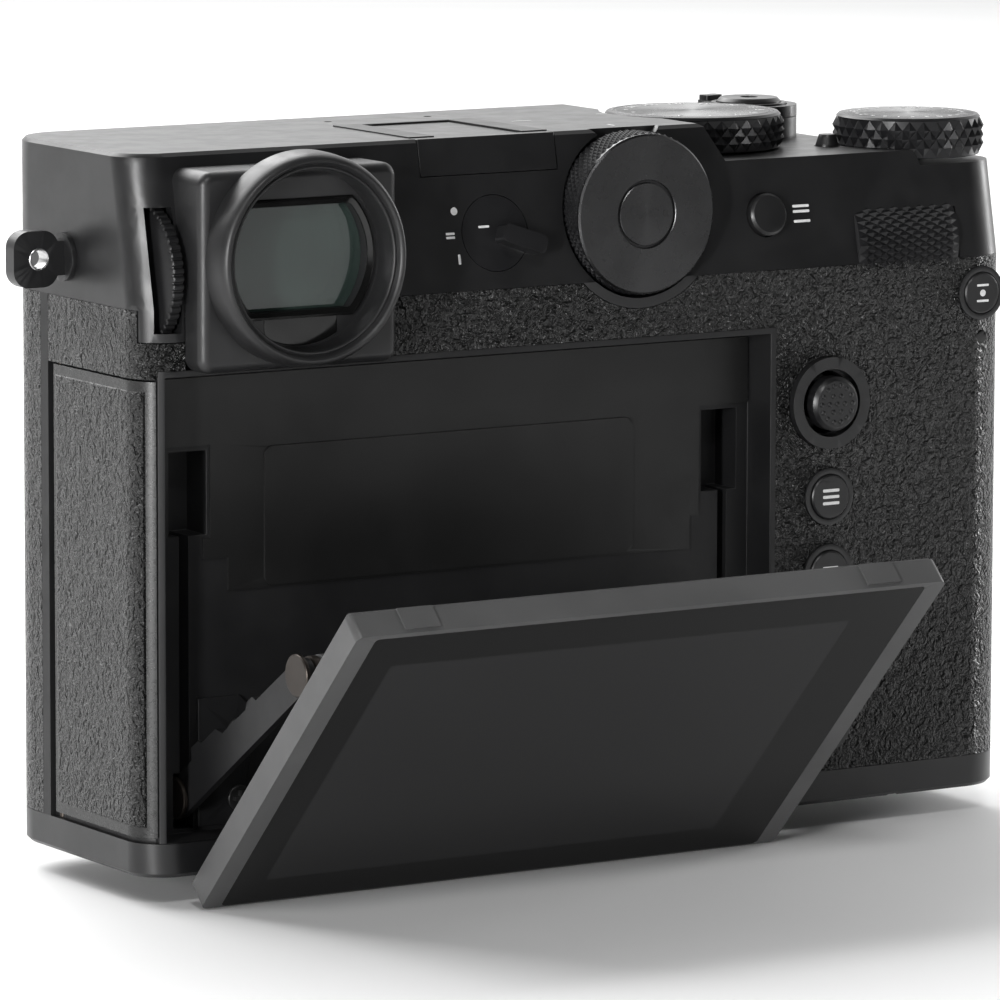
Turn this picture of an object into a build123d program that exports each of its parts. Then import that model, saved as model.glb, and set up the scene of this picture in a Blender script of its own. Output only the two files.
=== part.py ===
"""Compact rangefinder-style camera with a fixed lens, a corner eyepiece and a two-way tilting screen.

Units are millimetres. The origin is the mouth of the tripod socket, on the base under the optical
axis. +Z is up, the lens looks along -Y, and +X is the eyepiece end of the body.
The screen is drawn pulled out and tilted 44 degrees downwards, which is its rest pose.
"""
import math
import os

from build123d import *

os.makedirs("parts", exist_ok=True)

# ---- driving dimensions: body ------------------------------------------------------------------
body_width = 133.5
body_depth = 37.5
body_centre_x = -14.5
left_x = body_centre_x + body_width / 2  # eyepiece end
right_x = body_centre_x - body_width / 2  # grip end
front_y = -body_depth / 2
rear_y = body_depth / 2
corner_radii = {(1, -1): 7.5, (1, 1): 5.0, (-1, 1): 7.0, (-1, -1): 7.5}

base_z = 4.34  # top of the metal base cover
cover_z = 71.86  # underside of the metal top cover
top_z = 91.2  # raised part of the top cover
deck_z = 86.25  # lower deck under the dials
ledge_z = 84.2  # ledge under the exposure dial
lean = math.tan(math.radians(11.4))  # the top cover's rear wall leans forwards
skin = 0.75  # thickness of the leather covering
wall = 1.5  # thickness of the top and base covers
frame_inset = 3.0  # inside of the main frame, from the outer surface
strip_y = -7.45  # upright metal strip on each side
strip_width = 1.9

# ---- driving dimensions: screen ----------------------------------------------------------------
screen_x = 3.0  # middle of the screen and of its hinge
screen_width = 86.8
screen_height = 55.7
screen_depth = 4.2
screen_tilt = math.radians(44.1)
screen_top_y = 60.85  # front top edge at rest
screen_top_z = 36.4
glass_width = 81.0
well_left = 49.1  # inside of the recess for the screen
well_right = -41.7
well_top = 63.45
well_bottom = 4.5
well_floor = 13.3
well_rim = 0.85
arm_pivot = (12.55, 8.9)  # lower pivot of the arms: y, z
arm_plane_x = 40.7  # middle of each arm, from the middle of the screen
arm_half = 2.5
pivot_drop = 17.4  # upper pivot below the screen's top edge
pivot_back = 7.5  # and behind its glass
pin_radius = 1.2
pin_clearance = 0.06
disc_radius = 2.7

# ---- driving dimensions: lens ------------------------------------------------------------------
axis_z = 40.0
lens_front_y = -49.3
barrel_radius = 27.4
bore_radius = 24.0
filter_radius = 24.5  # 49 mm filter thread
flange_radius = 31.7
ring_clearance = 0.08

# ---- driving dimensions: controls --------------------------------------------------------------
shutter_dial = (-42.7, -1.85)
shutter_dial_radius = 12.25
exposure_dial = (-71.6, 6.8)
exposure_dial_radius = 10.15
release = (-58.6, -12.2)
release_radius = 4.35
collar_radius = 6.5
function_nub = (-59.3, 5.6)
ratio_dial = (-21.35, 80.4)
ratio_dial_radius = 10.65
ratio_face_y = 20.0
selector = (0.1, 78.9)
selector_radius = 4.9
lock_button = (-41.6, 79.0)
rear_wheel = (-63.6, 75.3)
rear_wheel_radius = 9.0
front_wheel = (-62.0, 78.6)
front_wheel_radius = 8.0
crop_lever = (-52.0, 64.5)
joystick = (-50.8, 53.8)
column_x = -51.0
column_z = {"menu_button": 41.25, "display_button": 31.1, "playback_button": 20.95, "drive_button": 10.8}
quick_button = (-75.4, 66.9)
lamp = (-75.6, 61.0)
finder = (32.2, 78.05)
finder_radius = 13.65
block_left = 46.4
block_right = 17.9
block_bottom = 64.1
block_top = 89.4
block_face_y = 22.9
cup_face_y = 27.2
dioptre_x = 48.2
dioptre_z = 75.9
dioptre_radius = 9.2
dioptre_proud = 2.4
dioptre_width = 1.8
lug_y = -1.6
lug_z = 77.0
shoe_half = 10.4
shoe_front_y = -6.0
shoe_depth = 4.8


def save(part, name):
    """Label one finished piece and write it as its own STEP file."""
    part.label = name
    export_step(part, f"parts/{name}.step")
    return part


def rear_wall_y(z, inset=0.0):
    """Depth of the rear outer surface at height z."""
    return rear_y - inset - max(0.0, z - cover_z) * lean


def outline(inset):
    """Plan of the body, drawn in by inset, with its four different corners."""
    width = body_width - 2 * inset
    depth = body_depth - 2 * inset
    with BuildSketch() as plan:
        with Locations((body_centre_x, 0)):
            Rectangle(width, depth)
        for (side_x, side_y), radius in corner_radii.items():
            corner = (body_centre_x + side_x * width / 2, side_y * depth / 2, 0)
            fillet(plan.vertices().sort_by_distance(corner)[0], radius - inset)
    return plan.sketch


def slab(inset, low, high):
    """The body's plan between two heights."""
    with BuildPart() as piece:
        with BuildSketch(Plane.XY.offset(low)):
            add(outline(inset))
        extrude(amount=high - low)
    return piece.part


def block(x, y, z):
    """A plain block between two limits along each axis."""
    with BuildPart() as piece:
        with BuildSketch(Plane.XY.offset(min(z))):
            with Locations((sum(x) / 2, sum(y) / 2)):
                Rectangle(abs(x[1] - x[0]), abs(y[1] - y[0]))
        extrude(amount=abs(z[1] - z[0]))
    return piece.part


def rearward(x, y, z):
    """Drawing plane that faces backwards (+Y), with its second axis up."""
    return Plane(origin=(x, y, z), x_dir=(-1, 0, 0), z_dir=(0, 1, 0))


def sideways(x, y, z):
    """Drawing plane that faces the eyepiece end (+X), with its second axis up."""
    return Plane(origin=(x, y, z), x_dir=(0, 1, 0), z_dir=(1, 0, 0))


def upward(x, y, z):
    """Drawing plane that faces up (+Z)."""
    return Plane(origin=(x, y, z), x_dir=(1, 0, 0), z_dir=(0, 0, 1))


def on_cover(x, z):
    """Drawing plane on the top cover's leaning rear wall, facing out of it."""
    return Plane(origin=(x, rear_wall_y(z), z), x_dir=(-1, 0, 0), z_dir=(0, 1, lean))


def rod(plane, radius, length, edge=0.0):
    """Round bar from a plane along its normal, with its far rim bevelled by edge."""
    with BuildPart() as piece:
        with BuildSketch(plane):
            Circle(radius)
        extrude(amount=length)
        if edge:
            along = Axis(plane.origin, plane.z_dir)
            far_face = piece.faces().filter_by(GeomType.PLANE).sort_by(along)[-1]
            chamfer(far_face.edges(), edge)
    return piece.part


def tube(plane, radius, hole, length):
    """Round tube from a plane along its normal."""
    with BuildPart() as piece:
        with BuildSketch(plane):
            Circle(radius)
            Circle(hole, mode=Mode.SUBTRACT)
        extrude(amount=length)
    return piece.part


def prism(plane, points, length):
    """Straight-sided solid from a closed outline on a plane."""
    with BuildPart() as piece:
        with BuildSketch(plane):
            with BuildLine():
                Polyline(*points, close=True)
            make_face()
        extrude(amount=length)
    return piece.part


def cut(solid, *tools):
    """The solid with each tool's volume taken away."""
    with BuildPart() as piece:
        add(solid)
        for tool in tools:
            add(tool, mode=Mode.SUBTRACT)
    return piece.part


def join(*solids):
    """Several volumes as one piece."""
    with BuildPart() as piece:
        for solid in solids:
            add(solid)
    return piece.part


def overlap_of(first, second):
    """The volume that two solids share."""
    with BuildPart() as piece:
        add(first)
        add(second, mode=Mode.INTERSECT)
    return piece.part


# ---- shared shapes -----------------------------------------------------------------------------
far = 200.0


def cover_form(inset, low):
    """Outer form of the top cover, or of its hollow when inset is above zero."""
    high = top_z - inset
    with BuildPart() as leaning:
        with BuildSketch(Plane.XY.offset(low)):
            add(outline(inset))
        extrude(amount=30.0, dir=(0, -lean, 1))
    deck_cut = [
        (-33.1 + inset, top_z + 0.01),
        (-36.2 + inset, deck_z - inset),
        (-66.0 + inset, deck_z - inset),
        (-67.2 + inset, ledge_z - inset),
        (right_x - 5, ledge_z - inset),
        (right_x - 5, top_z + 0.01),
    ]
    return cut(
        overlap_of(slab(inset, low, high), leaning.part),
        prism(Plane.XZ.offset(-far), deck_cut, 2 * far),
    )


dioptre_axis = (dioptre_x, rear_wall_y(dioptre_z) + dioptre_proud - dioptre_radius, dioptre_z)
axle_start = sideways(*dioptre_axis).offset(-3.5)
dioptre_axle = rod(axle_start, 1.0, left_x - wall - axle_start.origin.X)
port_pin_radius = 0.45
port_pin = (left_x - 1.0, -4.9)
port_pin_solid = rod(upward(*port_pin, base_z + 0.05), port_pin_radius, 58.8)
well_outer = block(
    (well_right - well_rim, well_left + well_rim),
    (well_floor - 1.2, far),
    (base_z, well_top + well_rim),
)
ratio_lip_radius = 12.3
ratio_lip = overlap_of(
    rod(rearward(ratio_dial[0], 12.9, ratio_dial[1]), ratio_lip_radius, rear_y - 12.9),
    slab(0, 60, cover_z + 0.01),
)
dioptre_lip = overlap_of(
    slab(0, 60, cover_z), block((46.5, 51.6), (rear_y - 5.0, far), (67.9, cover_z + 0.5))
)
block_zone = block((block_right, block_left), (14.0, far), (block_bottom, block_top))

# ---- base cover --------------------------------------------------------------------------------
battery_door_x = (-79.0, -38.5)
battery_door_y = (-15.2, 8.2)
door_thickness = 1.6
door_pin_radius = 0.4
door_pin_x = battery_door_x[1] - 0.95
door_pin_z = door_thickness / 2
door_pin_plane = Plane(origin=(door_pin_x, battery_door_y[0] - 0.8, door_pin_z), z_dir=(0, 1, 0))
battery_pin = rod(door_pin_plane, door_pin_radius, battery_door_y[1] - battery_door_y[0] + 1.6)
base_screw_spots = [(30.0, -16.9), (-32.0, -16.9), (-62.0, -16.9), (-62.0, 16.9)]
with BuildPart() as base_cover:
    add(slab(0, 0, base_z))
    chamfer(base_cover.faces().sort_by(Axis.Z)[0].edges(), 0.5)
    add(slab(wall, door_thickness, base_z), mode=Mode.SUBTRACT)
    add(rod(upward(0, 0, 0), 9.0, base_z))
    add(rod(upward(0, 0, 0), 6.05, base_z), mode=Mode.SUBTRACT)
    add(block(battery_door_x, battery_door_y, (-1, door_thickness)), mode=Mode.SUBTRACT)
    add(battery_pin, mode=Mode.SUBTRACT)
    for x, y in base_screw_spots:
        add(rod(upward(x, y, 0), 1.6, 1.0), mode=Mode.SUBTRACT)
        add(rod(upward(x, y, 0), 0.8, base_z), mode=Mode.SUBTRACT)
save(base_cover.part, "base_cover")

with BuildPart() as base_screws:
    for x, y in base_screw_spots:
        add(rod(upward(x, y, 0.15), 1.5, 0.85))
        add(rod(upward(x, y, 0.15), 0.8, 7.5))
        with BuildSketch(Plane.XY.offset(0.15)):
            with Locations((x, y)):
                Rectangle(1.9, 0.45)
                Rectangle(0.45, 1.9)
        extrude(amount=0.5, mode=Mode.SUBTRACT)

socket_radius = 3.175
with BuildPart() as tripod_socket:
    add(rod(upward(0, 0, 0), 6.0, 7.0))
    with BuildSketch(Plane.XY):
        Circle(socket_radius)
    extrude(amount=5.5, mode=Mode.SUBTRACT)
save(tripod_socket.part, "tripod_socket")

# ---- battery door, battery and card ------------------------------------------------------------
with BuildPart() as battery_door:
    add(
        block(
            (battery_door_x[0] + 0.2, door_pin_x),
            (battery_door_y[0] + 0.2, battery_door_y[1] - 0.2),
            (0.05, door_thickness - 0.05),
        )
    )
    leaf_length = battery_door_y[1] - battery_door_y[0] - 0.4
    knuckle_plane = door_pin_plane.offset(1.0)
    add(rod(knuckle_plane, door_thickness / 2 - 0.05, leaf_length))
    add(rod(knuckle_plane, door_pin_radius + pin_clearance, leaf_length), mode=Mode.SUBTRACT)
    add(block((-76.5, -72.5), (-6.5, -0.5), (-1.0, 0.45)), mode=Mode.SUBTRACT)
save(battery_door.part, "battery_door")

battery_x = (-76.8, -40.6)
battery_y = (-14.6, 6.3)
with BuildPart() as battery:
    add(block(battery_x, battery_y, (4.6, 58.0)))
    fillet(battery.edges().filter_by(Axis.Z), 2.5)
save(battery.part, "battery")

chamber_space = block(
    (battery_x[0] - 0.15, battery_x[1] + 0.15), (battery_y[0] - 0.15, battery_y[1] + 0.15), (0, 58.6)
)
with BuildPart() as battery_chamber:
    add(slab(frame_inset + 0.05, base_z + 0.05, 59.6))
    add(block((-far, -39.4), (-far, 7.05), (0, far)), mode=Mode.INTERSECT)
    add(chamber_space, mode=Mode.SUBTRACT)

with BuildPart() as memory_card:
    with BuildSketch(Plane.XY.offset(5.2)):
        with Locations((-64.0, 9.6)):
            Rectangle(24.0, 2.1)
    extrude(amount=32.0)
    chamfer(memory_card.edges().filter_by(Axis.Y).sort_by(Axis.Z)[-1:], 2.5)
save(memory_card.part, "memory_card")

with BuildPart() as card_slot:
    add(block((-77.2, -50.8), (7.05, 11.4), (5.2, 39.0)))
    add(block((-76.15, -51.85), (8.4, 10.8), (0, 38.2)), mode=Mode.SUBTRACT)
save(join(battery_chamber.part, card_slot.part), "battery_and_card_holder")

# ---- top cover ---------------------------------------------------------------------------------
dial_clearance = 0.35
pocket_floor = 1.4
shutter_pocket = rod(upward(*shutter_dial, deck_z), shutter_dial_radius + dial_clearance, 10.0)
exposure_pocket = rod(upward(*exposure_dial, ledge_z), exposure_dial_radius + dial_clearance, 10.0)
ratio_pocket = rod(
    rearward(ratio_dial[0], 14.2, ratio_dial[1]), ratio_dial_radius + dial_clearance, 10.0
)
ratio_notch = prism(
    Plane.XZ.offset(-25.0),
    [(-15.0, top_z + 1), (-17.6, 89.9), (-25.2, 89.9), (-27.8, top_z + 1)],
    25.0 - 13.6,
)
shoe_slot = block((-shoe_half, shoe_half), (shoe_front_y, far), (top_z - shoe_depth, far))
finder_bore = rod(rearward(finder[0], 8.0, finder[1]), 10.4, 14.0)
rear_wheel_slot = block((-71.9, -56.1), (10.0, far), (cover_z - 1, 78.6))
front_wheel_slot = block((-69.4, -54.6), (-far, -14.0), (75.4, 81.8))
dioptre_slot = block((46.9, 50.3), (8.0, far), (69.0, 84.6))
selector_plane = on_cover(*selector)
lock_plane = on_cover(*lock_button)
spindle_radius = 2.0
spindle_clearance = 0.07

with BuildPart() as hollow:
    add(cover_form(wall, cover_z - 0.01))
    add(rod(upward(*shutter_dial, deck_z - pocket_floor), shutter_dial_radius + 1.7, 10.0),
        mode=Mode.SUBTRACT)
    add(rod(upward(*exposure_dial, ledge_z - pocket_floor), exposure_dial_radius + 1.4, 10.0),
        mode=Mode.SUBTRACT)
    add(rod(rearward(ratio_dial[0], 12.9, ratio_dial[1]), ratio_lip_radius, 10.0), mode=Mode.SUBTRACT)
    add(block((-28.4, -14.4), (12.3, far), (88.6, far)), mode=Mode.SUBTRACT)
    add(block((-shoe_half - 1.2, shoe_half + 1.2), (shoe_front_y - 1.2, far),
              (top_z - shoe_depth - 1.2, far)), mode=Mode.SUBTRACT)
    add(rod(rearward(selector[0], 13.6, selector[1]), 6.0, 10.0), mode=Mode.SUBTRACT)

with BuildPart() as top_cover:
    add(cover_form(0, cover_z))
    chamfer(top_cover.faces().filter_by(Plane.XY).sort_by(Axis.Z)[-1].edges(), 0.45)
    add(hollow.part, mode=Mode.SUBTRACT)
    add(ratio_lip)
    add(dioptre_lip)
    for opening in (
        shutter_pocket, exposure_pocket, ratio_pocket, ratio_notch, shoe_slot, finder_bore,
        rear_wheel_slot, front_wheel_slot, dioptre_slot,
        rod(sideways(*dioptre_axis).offset(-1.35), dioptre_radius + 0.35, 2.7),
        rod(selector_plane.offset(-2.2), selector_radius + 0.1, 6.0),
        rod(selector_plane.offset(-8.0), 1.5 + spindle_clearance, 9.0),
        rod(lock_plane.offset(-6.0), 2.95, 9.0),
        rod(upward(*shutter_dial, 80.0), spindle_radius + spindle_clearance, 10.0),
        rod(upward(*exposure_dial, 78.0), spindle_radius + spindle_clearance, 10.0),
        rod(upward(*release, 80.0), release_radius + 0.1, 10.0),
        rod(upward(*function_nub, 80.0), 1.75, 10.0),
        rod(rearward(ratio_dial[0], 10.0, ratio_dial[1]), spindle_radius + spindle_clearance, 6.0),
        rod(rearward(-34.0, -25.0, 80.0), 3.6, 10.0),
    ):
        add(opening, mode=Mode.SUBTRACT)
    for side in (-1, 1):
        add(rod(upward(side * 7.6, -12.0, 80.0), 0.55, 15.0), mode=Mode.SUBTRACT)
with BuildPart() as release_collar:
    add(tube(upward(*release, deck_z), collar_radius, release_radius + 0.1, 2.75))
    add(tube(upward(*release, deck_z), 5.1, release_radius + 0.1, 4.6))
lug_holes = [
    rod(Plane(origin=(end_x, lug_y, lug_z), z_dir=(-side, 0, 0)), 1.2, 3.0)
    for side, end_x in ((1, left_x), (-1, right_x))
]
save(cut(join(top_cover.part, release_collar.part), *lug_holes), "top_cover")

# ---- main frame: the cast tub that everything is fixed to --------------------------------------
rear_wheel_y = rear_wall_y(78.0) + 1.8 - rear_wheel_radius
front_wheel_y = front_y - 1.5 + front_wheel_radius
wheel_centres = {
    "rear_command_dial": (rear_wheel[0], rear_wheel_y, rear_wheel[1], rear_wheel_radius),
    "front_command_dial": (front_wheel[0], front_wheel_y, front_wheel[1], front_wheel_radius),
}
lens_hole = rod(rearward(0, -30.0, axis_z), 30.2, 20.0)
left_trim = block((left_x - 3, left_x), (strip_y - strip_width / 2, strip_y + strip_width / 2),
                  (base_z, cover_z))
right_trim = block((right_x, right_x + 3), (strip_y - strip_width / 2, strip_y + strip_width / 2),
                   (base_z, cover_z))
with BuildPart() as main_frame:
    add(slab(skin, base_z, cover_z))
    add(left_trim)
    add(right_trim)
    add(slab(frame_inset, base_z, cover_z), mode=Mode.SUBTRACT)
    add(overlap_of(slab(skin, 70.0, 71.3), block((-73.5, -53.0), (-far, far), (0, far))))
    for x, y, z, radius in wheel_centres.values():
        add(rod(upward(x, y, 60.0), 1.5 + pin_clearance, 20.0), mode=Mode.SUBTRACT)
    for opening in (
        well_outer, lens_hole, block_zone,
        block((left_x - 1.95, far), (-6.4, far), (5.0, 63.1)),
        block((well_left, far), (14.5, far), (5.0, 63.1)),
        block((40.0, far), (-2.0, 7.5), (14.0, 56.0)), port_pin_solid, base_screws.part,
        rod(rearward(ratio_dial[0], 12.85, ratio_dial[1]), ratio_lip_radius + 0.05, 10.0),
        block((46.4, 51.7), (5.0, far), (64.8, cover_z)),
        rod(rearward(joystick[0], 10.0, joystick[1]), 4.2, 12.0),
        rod(rearward(quick_button[0], 10.0, quick_button[1]), 2.85, 12.0),
        rod(rearward(lamp[0], 10.0, lamp[1]), 0.9, 12.0),
        rod(rearward(crop_lever[0], -25.0, crop_lever[1]), 1.0 + pin_clearance, 12.0),
    ):
        add(opening, mode=Mode.SUBTRACT)
    for z in column_z.values():
        add(rod(rearward(column_x, 10.0, z), 2.6, 12.0), mode=Mode.SUBTRACT)
save(main_frame.part, "main_frame")

# ---- leather coverings -------------------------------------------------------------------------
cover_joint = 0.06
skin_low = base_z + cover_joint
skin_high = cover_z - cover_joint
front_limit = strip_y - strip_width / 2
rear_limit = strip_y + strip_width / 2
with BuildPart() as front_leather:
    add(slab(0, skin_low, skin_high))
    add(slab(skin, 0, far), mode=Mode.SUBTRACT)
    add(block((-far, far), (front_limit - cover_joint, far), (0, far)), mode=Mode.SUBTRACT)
    add(rod(rearward(0, -30.0, axis_z), flange_radius + 0.3, 20.0), mode=Mode.SUBTRACT)
    add(rod(rearward(crop_lever[0], -30.0, crop_lever[1]), 4.1, 20.0), mode=Mode.SUBTRACT)

with BuildPart() as rear_leather:
    add(slab(0, skin_low, skin_high))
    add(slab(skin, 0, far), mode=Mode.SUBTRACT)
    for opening in (
        block((-far, far), (-far, rear_limit + cover_joint), (0, far)),
        block((well_left, far), (-far, far), (0, 63.25)),
        well_outer, block_zone,
        rod(rearward(ratio_dial[0], 12.0, ratio_dial[1]), ratio_lip_radius + 0.1, 10.0),
        block((46.3, 51.75), (13.0, far), (67.75, far)),
        rod(rearward(joystick[0], 10.0, joystick[1]), 6.2, 12.0),
        rod(rearward(quick_button[0], 10.0, quick_button[1]), 3.65, 12.0),
        rod(rearward(lamp[0], 10.0, lamp[1]), 0.9, 12.0),
    ):
        add(opening, mode=Mode.SUBTRACT)
    for z in column_z.values():
        add(rod(rearward(column_x, 10.0, z), 3.85, 12.0), mode=Mode.SUBTRACT)
save(rear_leather.part, "rear_leather")

grip_x = (-78.5, -64.5)
with BuildPart() as front_grip:
    add(block(grip_x, (-23.5, -14.0), (7.0, 66.0)))
    fillet(front_grip.edges().filter_by(Axis.Z).sort_by(Axis.Y)[:2], 3.4)
    fillet(front_grip.faces().sort_by(Axis.Y)[0].edges().filter_by(Axis.X), 2.5)
    add(slab(0.3, 0, far), mode=Mode.SUBTRACT)
save(join(front_leather.part, front_grip.part), "front_leather")

# ---- port door on the eyepiece end, with its hinge pin and the sockets behind it ----------------
with BuildPart() as port_door:
    add(slab(0, 5.1, 63.0))
    add(slab(1.8, 0, far), mode=Mode.SUBTRACT)
    add(block((-far, far), (-far, port_pin[1]), (0, far)), mode=Mode.SUBTRACT)
    add(block((-far, well_left + well_rim + 0.15), (-far, far), (0, far)), mode=Mode.SUBTRACT)
    add(rod(upward(*port_pin, 5.1), 0.95, 57.9))
    add(rod(upward(*port_pin, 5.1), port_pin_radius + pin_clearance, 57.9), mode=Mode.SUBTRACT)
save(port_door.part, "port_door")


with BuildPart() as connector_block:
    add(block((42.4, 50.2), (-1.0, 7.0), (15.0, 55.0)))
    add(block((45.0, far), (2.2, 4.9), (17.5, 26.4)), mode=Mode.SUBTRACT)
    add(block((45.0, far), (2.0, 5.2), (30.0, 36.6)), mode=Mode.SUBTRACT)
    for z in (41.5, 49.5):
        add(rod(sideways(44.0, 3.6, z), 1.8, 8.0), mode=Mode.SUBTRACT)
save(connector_block.part, "connector_block")

# ---- recess for the screen ---------------------------------------------------------------------
pocket_z = (42.5, 53.2)
slot_half = 0.68
channel_depth = 5.0
with BuildPart() as screen_well:
    add(overlap_of(well_outer, slab(0.0, base_z + 0.02, cover_z)))
    add(block((well_right, well_left), (well_floor, far), (well_bottom, well_top)), mode=Mode.SUBTRACT)
    for side in (-1, 1):
        arm_x = screen_x + side * arm_plane_x
        slot = (arm_x - slot_half, arm_x + slot_half)
        pocket = (screen_x + side * 37.4, screen_x + side * 42.9)
        foot = (arm_x - 1.3, arm_x + 1.6) if side > 0 else (arm_x - 1.6, arm_x + 1.3)
        add(block((arm_x - 4.2, arm_x + 3.2) if side > 0 else (arm_x - 3.2, arm_x + 4.2),
                  (well_floor - 1.2 - channel_depth, well_floor - 1.2), (base_z + 0.02, 54.4)))
        add(block(slot, (well_floor - channel_depth, far), (5.0, pocket_z[0])), mode=Mode.SUBTRACT)
        add(block(pocket, (well_floor - channel_depth, far), pocket_z), mode=Mode.SUBTRACT)
        add(block(foot, (well_floor - channel_depth, far), (5.0, 12.2)), mode=Mode.SUBTRACT)
save(screen_well.part, "screen_well")

plate_thickness = 0.35
with BuildPart() as well_plate:
    with BuildSketch(Plane.XZ.offset(-well_floor - plate_thickness)):
        with BuildLine():
            Polyline(
                (41.4, 62.6), (49.0 - 0.2, 62.6), (49.0 - 0.2, 53.9), (40.0, 53.9), (40.0, 42.0),
                (41.0, 42.0), (41.0, 39.4), (37.4, 39.4), (37.4, 35.1), (-32.4, 35.1), (-32.4, 39.4),
                (-33.8, 39.4), (-33.8, 53.9), (-41.4, 53.9), (-41.4, 62.6), close=True,
            )
        make_face()
    extrude(amount=plate_thickness)
    with BuildSketch(Plane.XZ.offset(-well_floor - plate_thickness - 0.25)):
        with Locations((4.4, 44.3)):
            RectangleRounded(55.6, 17.8, 1.2)
    extrude(amount=0.25)
save(well_plate.part, "well_plate")

bracket_thickness = 0.5
screw_spots = [(36.1, 17.1), (36.1, 8.4)]
with BuildPart() as hinge_brackets:
    for side in (-1, 1):
        inner = side * 30.4
        outer = side * 38.9
        with BuildSketch(Plane.XZ.offset(-well_floor - bracket_thickness)):
            with BuildLine():
                Polyline(
                    (screen_x + inner, 5.2), (screen_x + inner, 19.0), (screen_x + inner + side * 2.6, 21.6),
                    (screen_x + outer, 21.6), (screen_x + outer, 5.2), close=True,
                )
            make_face()
            with Locations(*[(screen_x + side * (x - screen_x), z) for x, z in screw_spots]):
                Circle(0.95, mode=Mode.SUBTRACT)
        extrude(amount=bracket_thickness)
save(hinge_brackets.part, "hinge_brackets")

with BuildPart() as hinge_screws:
    for side in (-1, 1):
        for x, z in screw_spots:
            spot = rearward(screen_x + side * (x - screen_x), well_floor + bracket_thickness, z)
            head = rod(spot, 1.65, 0.4, 0.12)
            shank = rod(spot.offset(-bracket_thickness), 0.9, bracket_thickness)
            with BuildPart() as recess:
                with BuildSketch(spot.offset(0.12)):
                    Rectangle(2.1, 0.5)
                    Rectangle(0.5, 2.1)
                extrude(amount=1.0)
            add(cut(join(head, shank), recess.part))
save(join(base_screws.part, hinge_screws.part), "cross_head_screws")

# ---- screen arms and their pivots --------------------------------------------------------------
upper_pivot_y = (
    screen_top_y - pivot_drop * math.sin(screen_tilt) - pivot_back * math.cos(screen_tilt)
)
upper_pivot_z = (
    screen_top_z - pivot_drop * math.cos(screen_tilt) + pivot_back * math.sin(screen_tilt)
)
reach_y = upper_pivot_y - arm_pivot[0]
reach_z = upper_pivot_z - arm_pivot[1]
arm_length = math.hypot(reach_y, reach_z)
arm_angle = math.degrees(math.atan2(reach_y, reach_z))
arm_thickness = 1.0
arm_hole = pin_radius + pin_clearance


def arm_plane(side, offset):
    """Plane of one arm: first axis along the arm from its lower pivot, facing outwards."""
    origin = (screen_x + side * (arm_plane_x + offset), *arm_pivot)
    return Plane(origin=origin, x_dir=(0, reach_y, reach_z), z_dir=(side, 0, 0))


with BuildPart() as screen_arms:
    for up in (-1, 1):
        with BuildSketch(arm_plane(up, -arm_thickness / 2)):
            with BuildLine():
                Polyline(
                    (-0.2, -up * arm_half), (arm_length, -up * 2.1), (arm_length, up * 2.1),
                    (25.0, up * 2.1), (24.3, up * 2.9), (22.6, up * 2.9), (22.0, up * 2.2),
                    (15.0, up * 2.2), (13.6, up * 3.4), (9.4, up * 3.4), (8.6, up * 4.0),
                    (6.6, up * 4.0), (5.9, up * 2.6), (-0.2, up * arm_half), close=True,
                )
            make_face()
            Circle(arm_half)
            with Locations((arm_length, 0)):
                Circle(2.1)
            with Locations((0, 0), (arm_length, 0)):
                Circle(arm_hole, mode=Mode.SUBTRACT)
        extrude(amount=arm_thickness)
save(screen_arms.part, "screen_arms")

with BuildPart() as hinge_pins:
    for side in (-1, 1):
        facing = (side, 0, 0)
        start = Plane(origin=(screen_x + side * (arm_plane_x - 1.25), *arm_pivot), z_dir=facing)
        add(rod(start, pin_radius, 1.9))
        add(rod(start.offset(1.9), disc_radius, 0.55, 0.12))
    for pin in (battery_pin, port_pin_solid, dioptre_axle):
        add(pin)
save(hinge_pins.part, "hinge_pins")

with BuildPart() as tilt_plates:
    for side in (-1, 1):
        facing = (side, 0, 0)
        pivot = (upper_pivot_y, upper_pivot_z)
        start = Plane(origin=(screen_x + side * (arm_plane_x - 3.1), *pivot), z_dir=facing)
        add(rod(start, pin_radius, 3.75))
        add(rod(start.offset(1.4), 2.3, 0.9))
        add(rod(start.offset(3.75), disc_radius, 0.55, 0.12))
save(tilt_plates.part, "tilt_plates")

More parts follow.
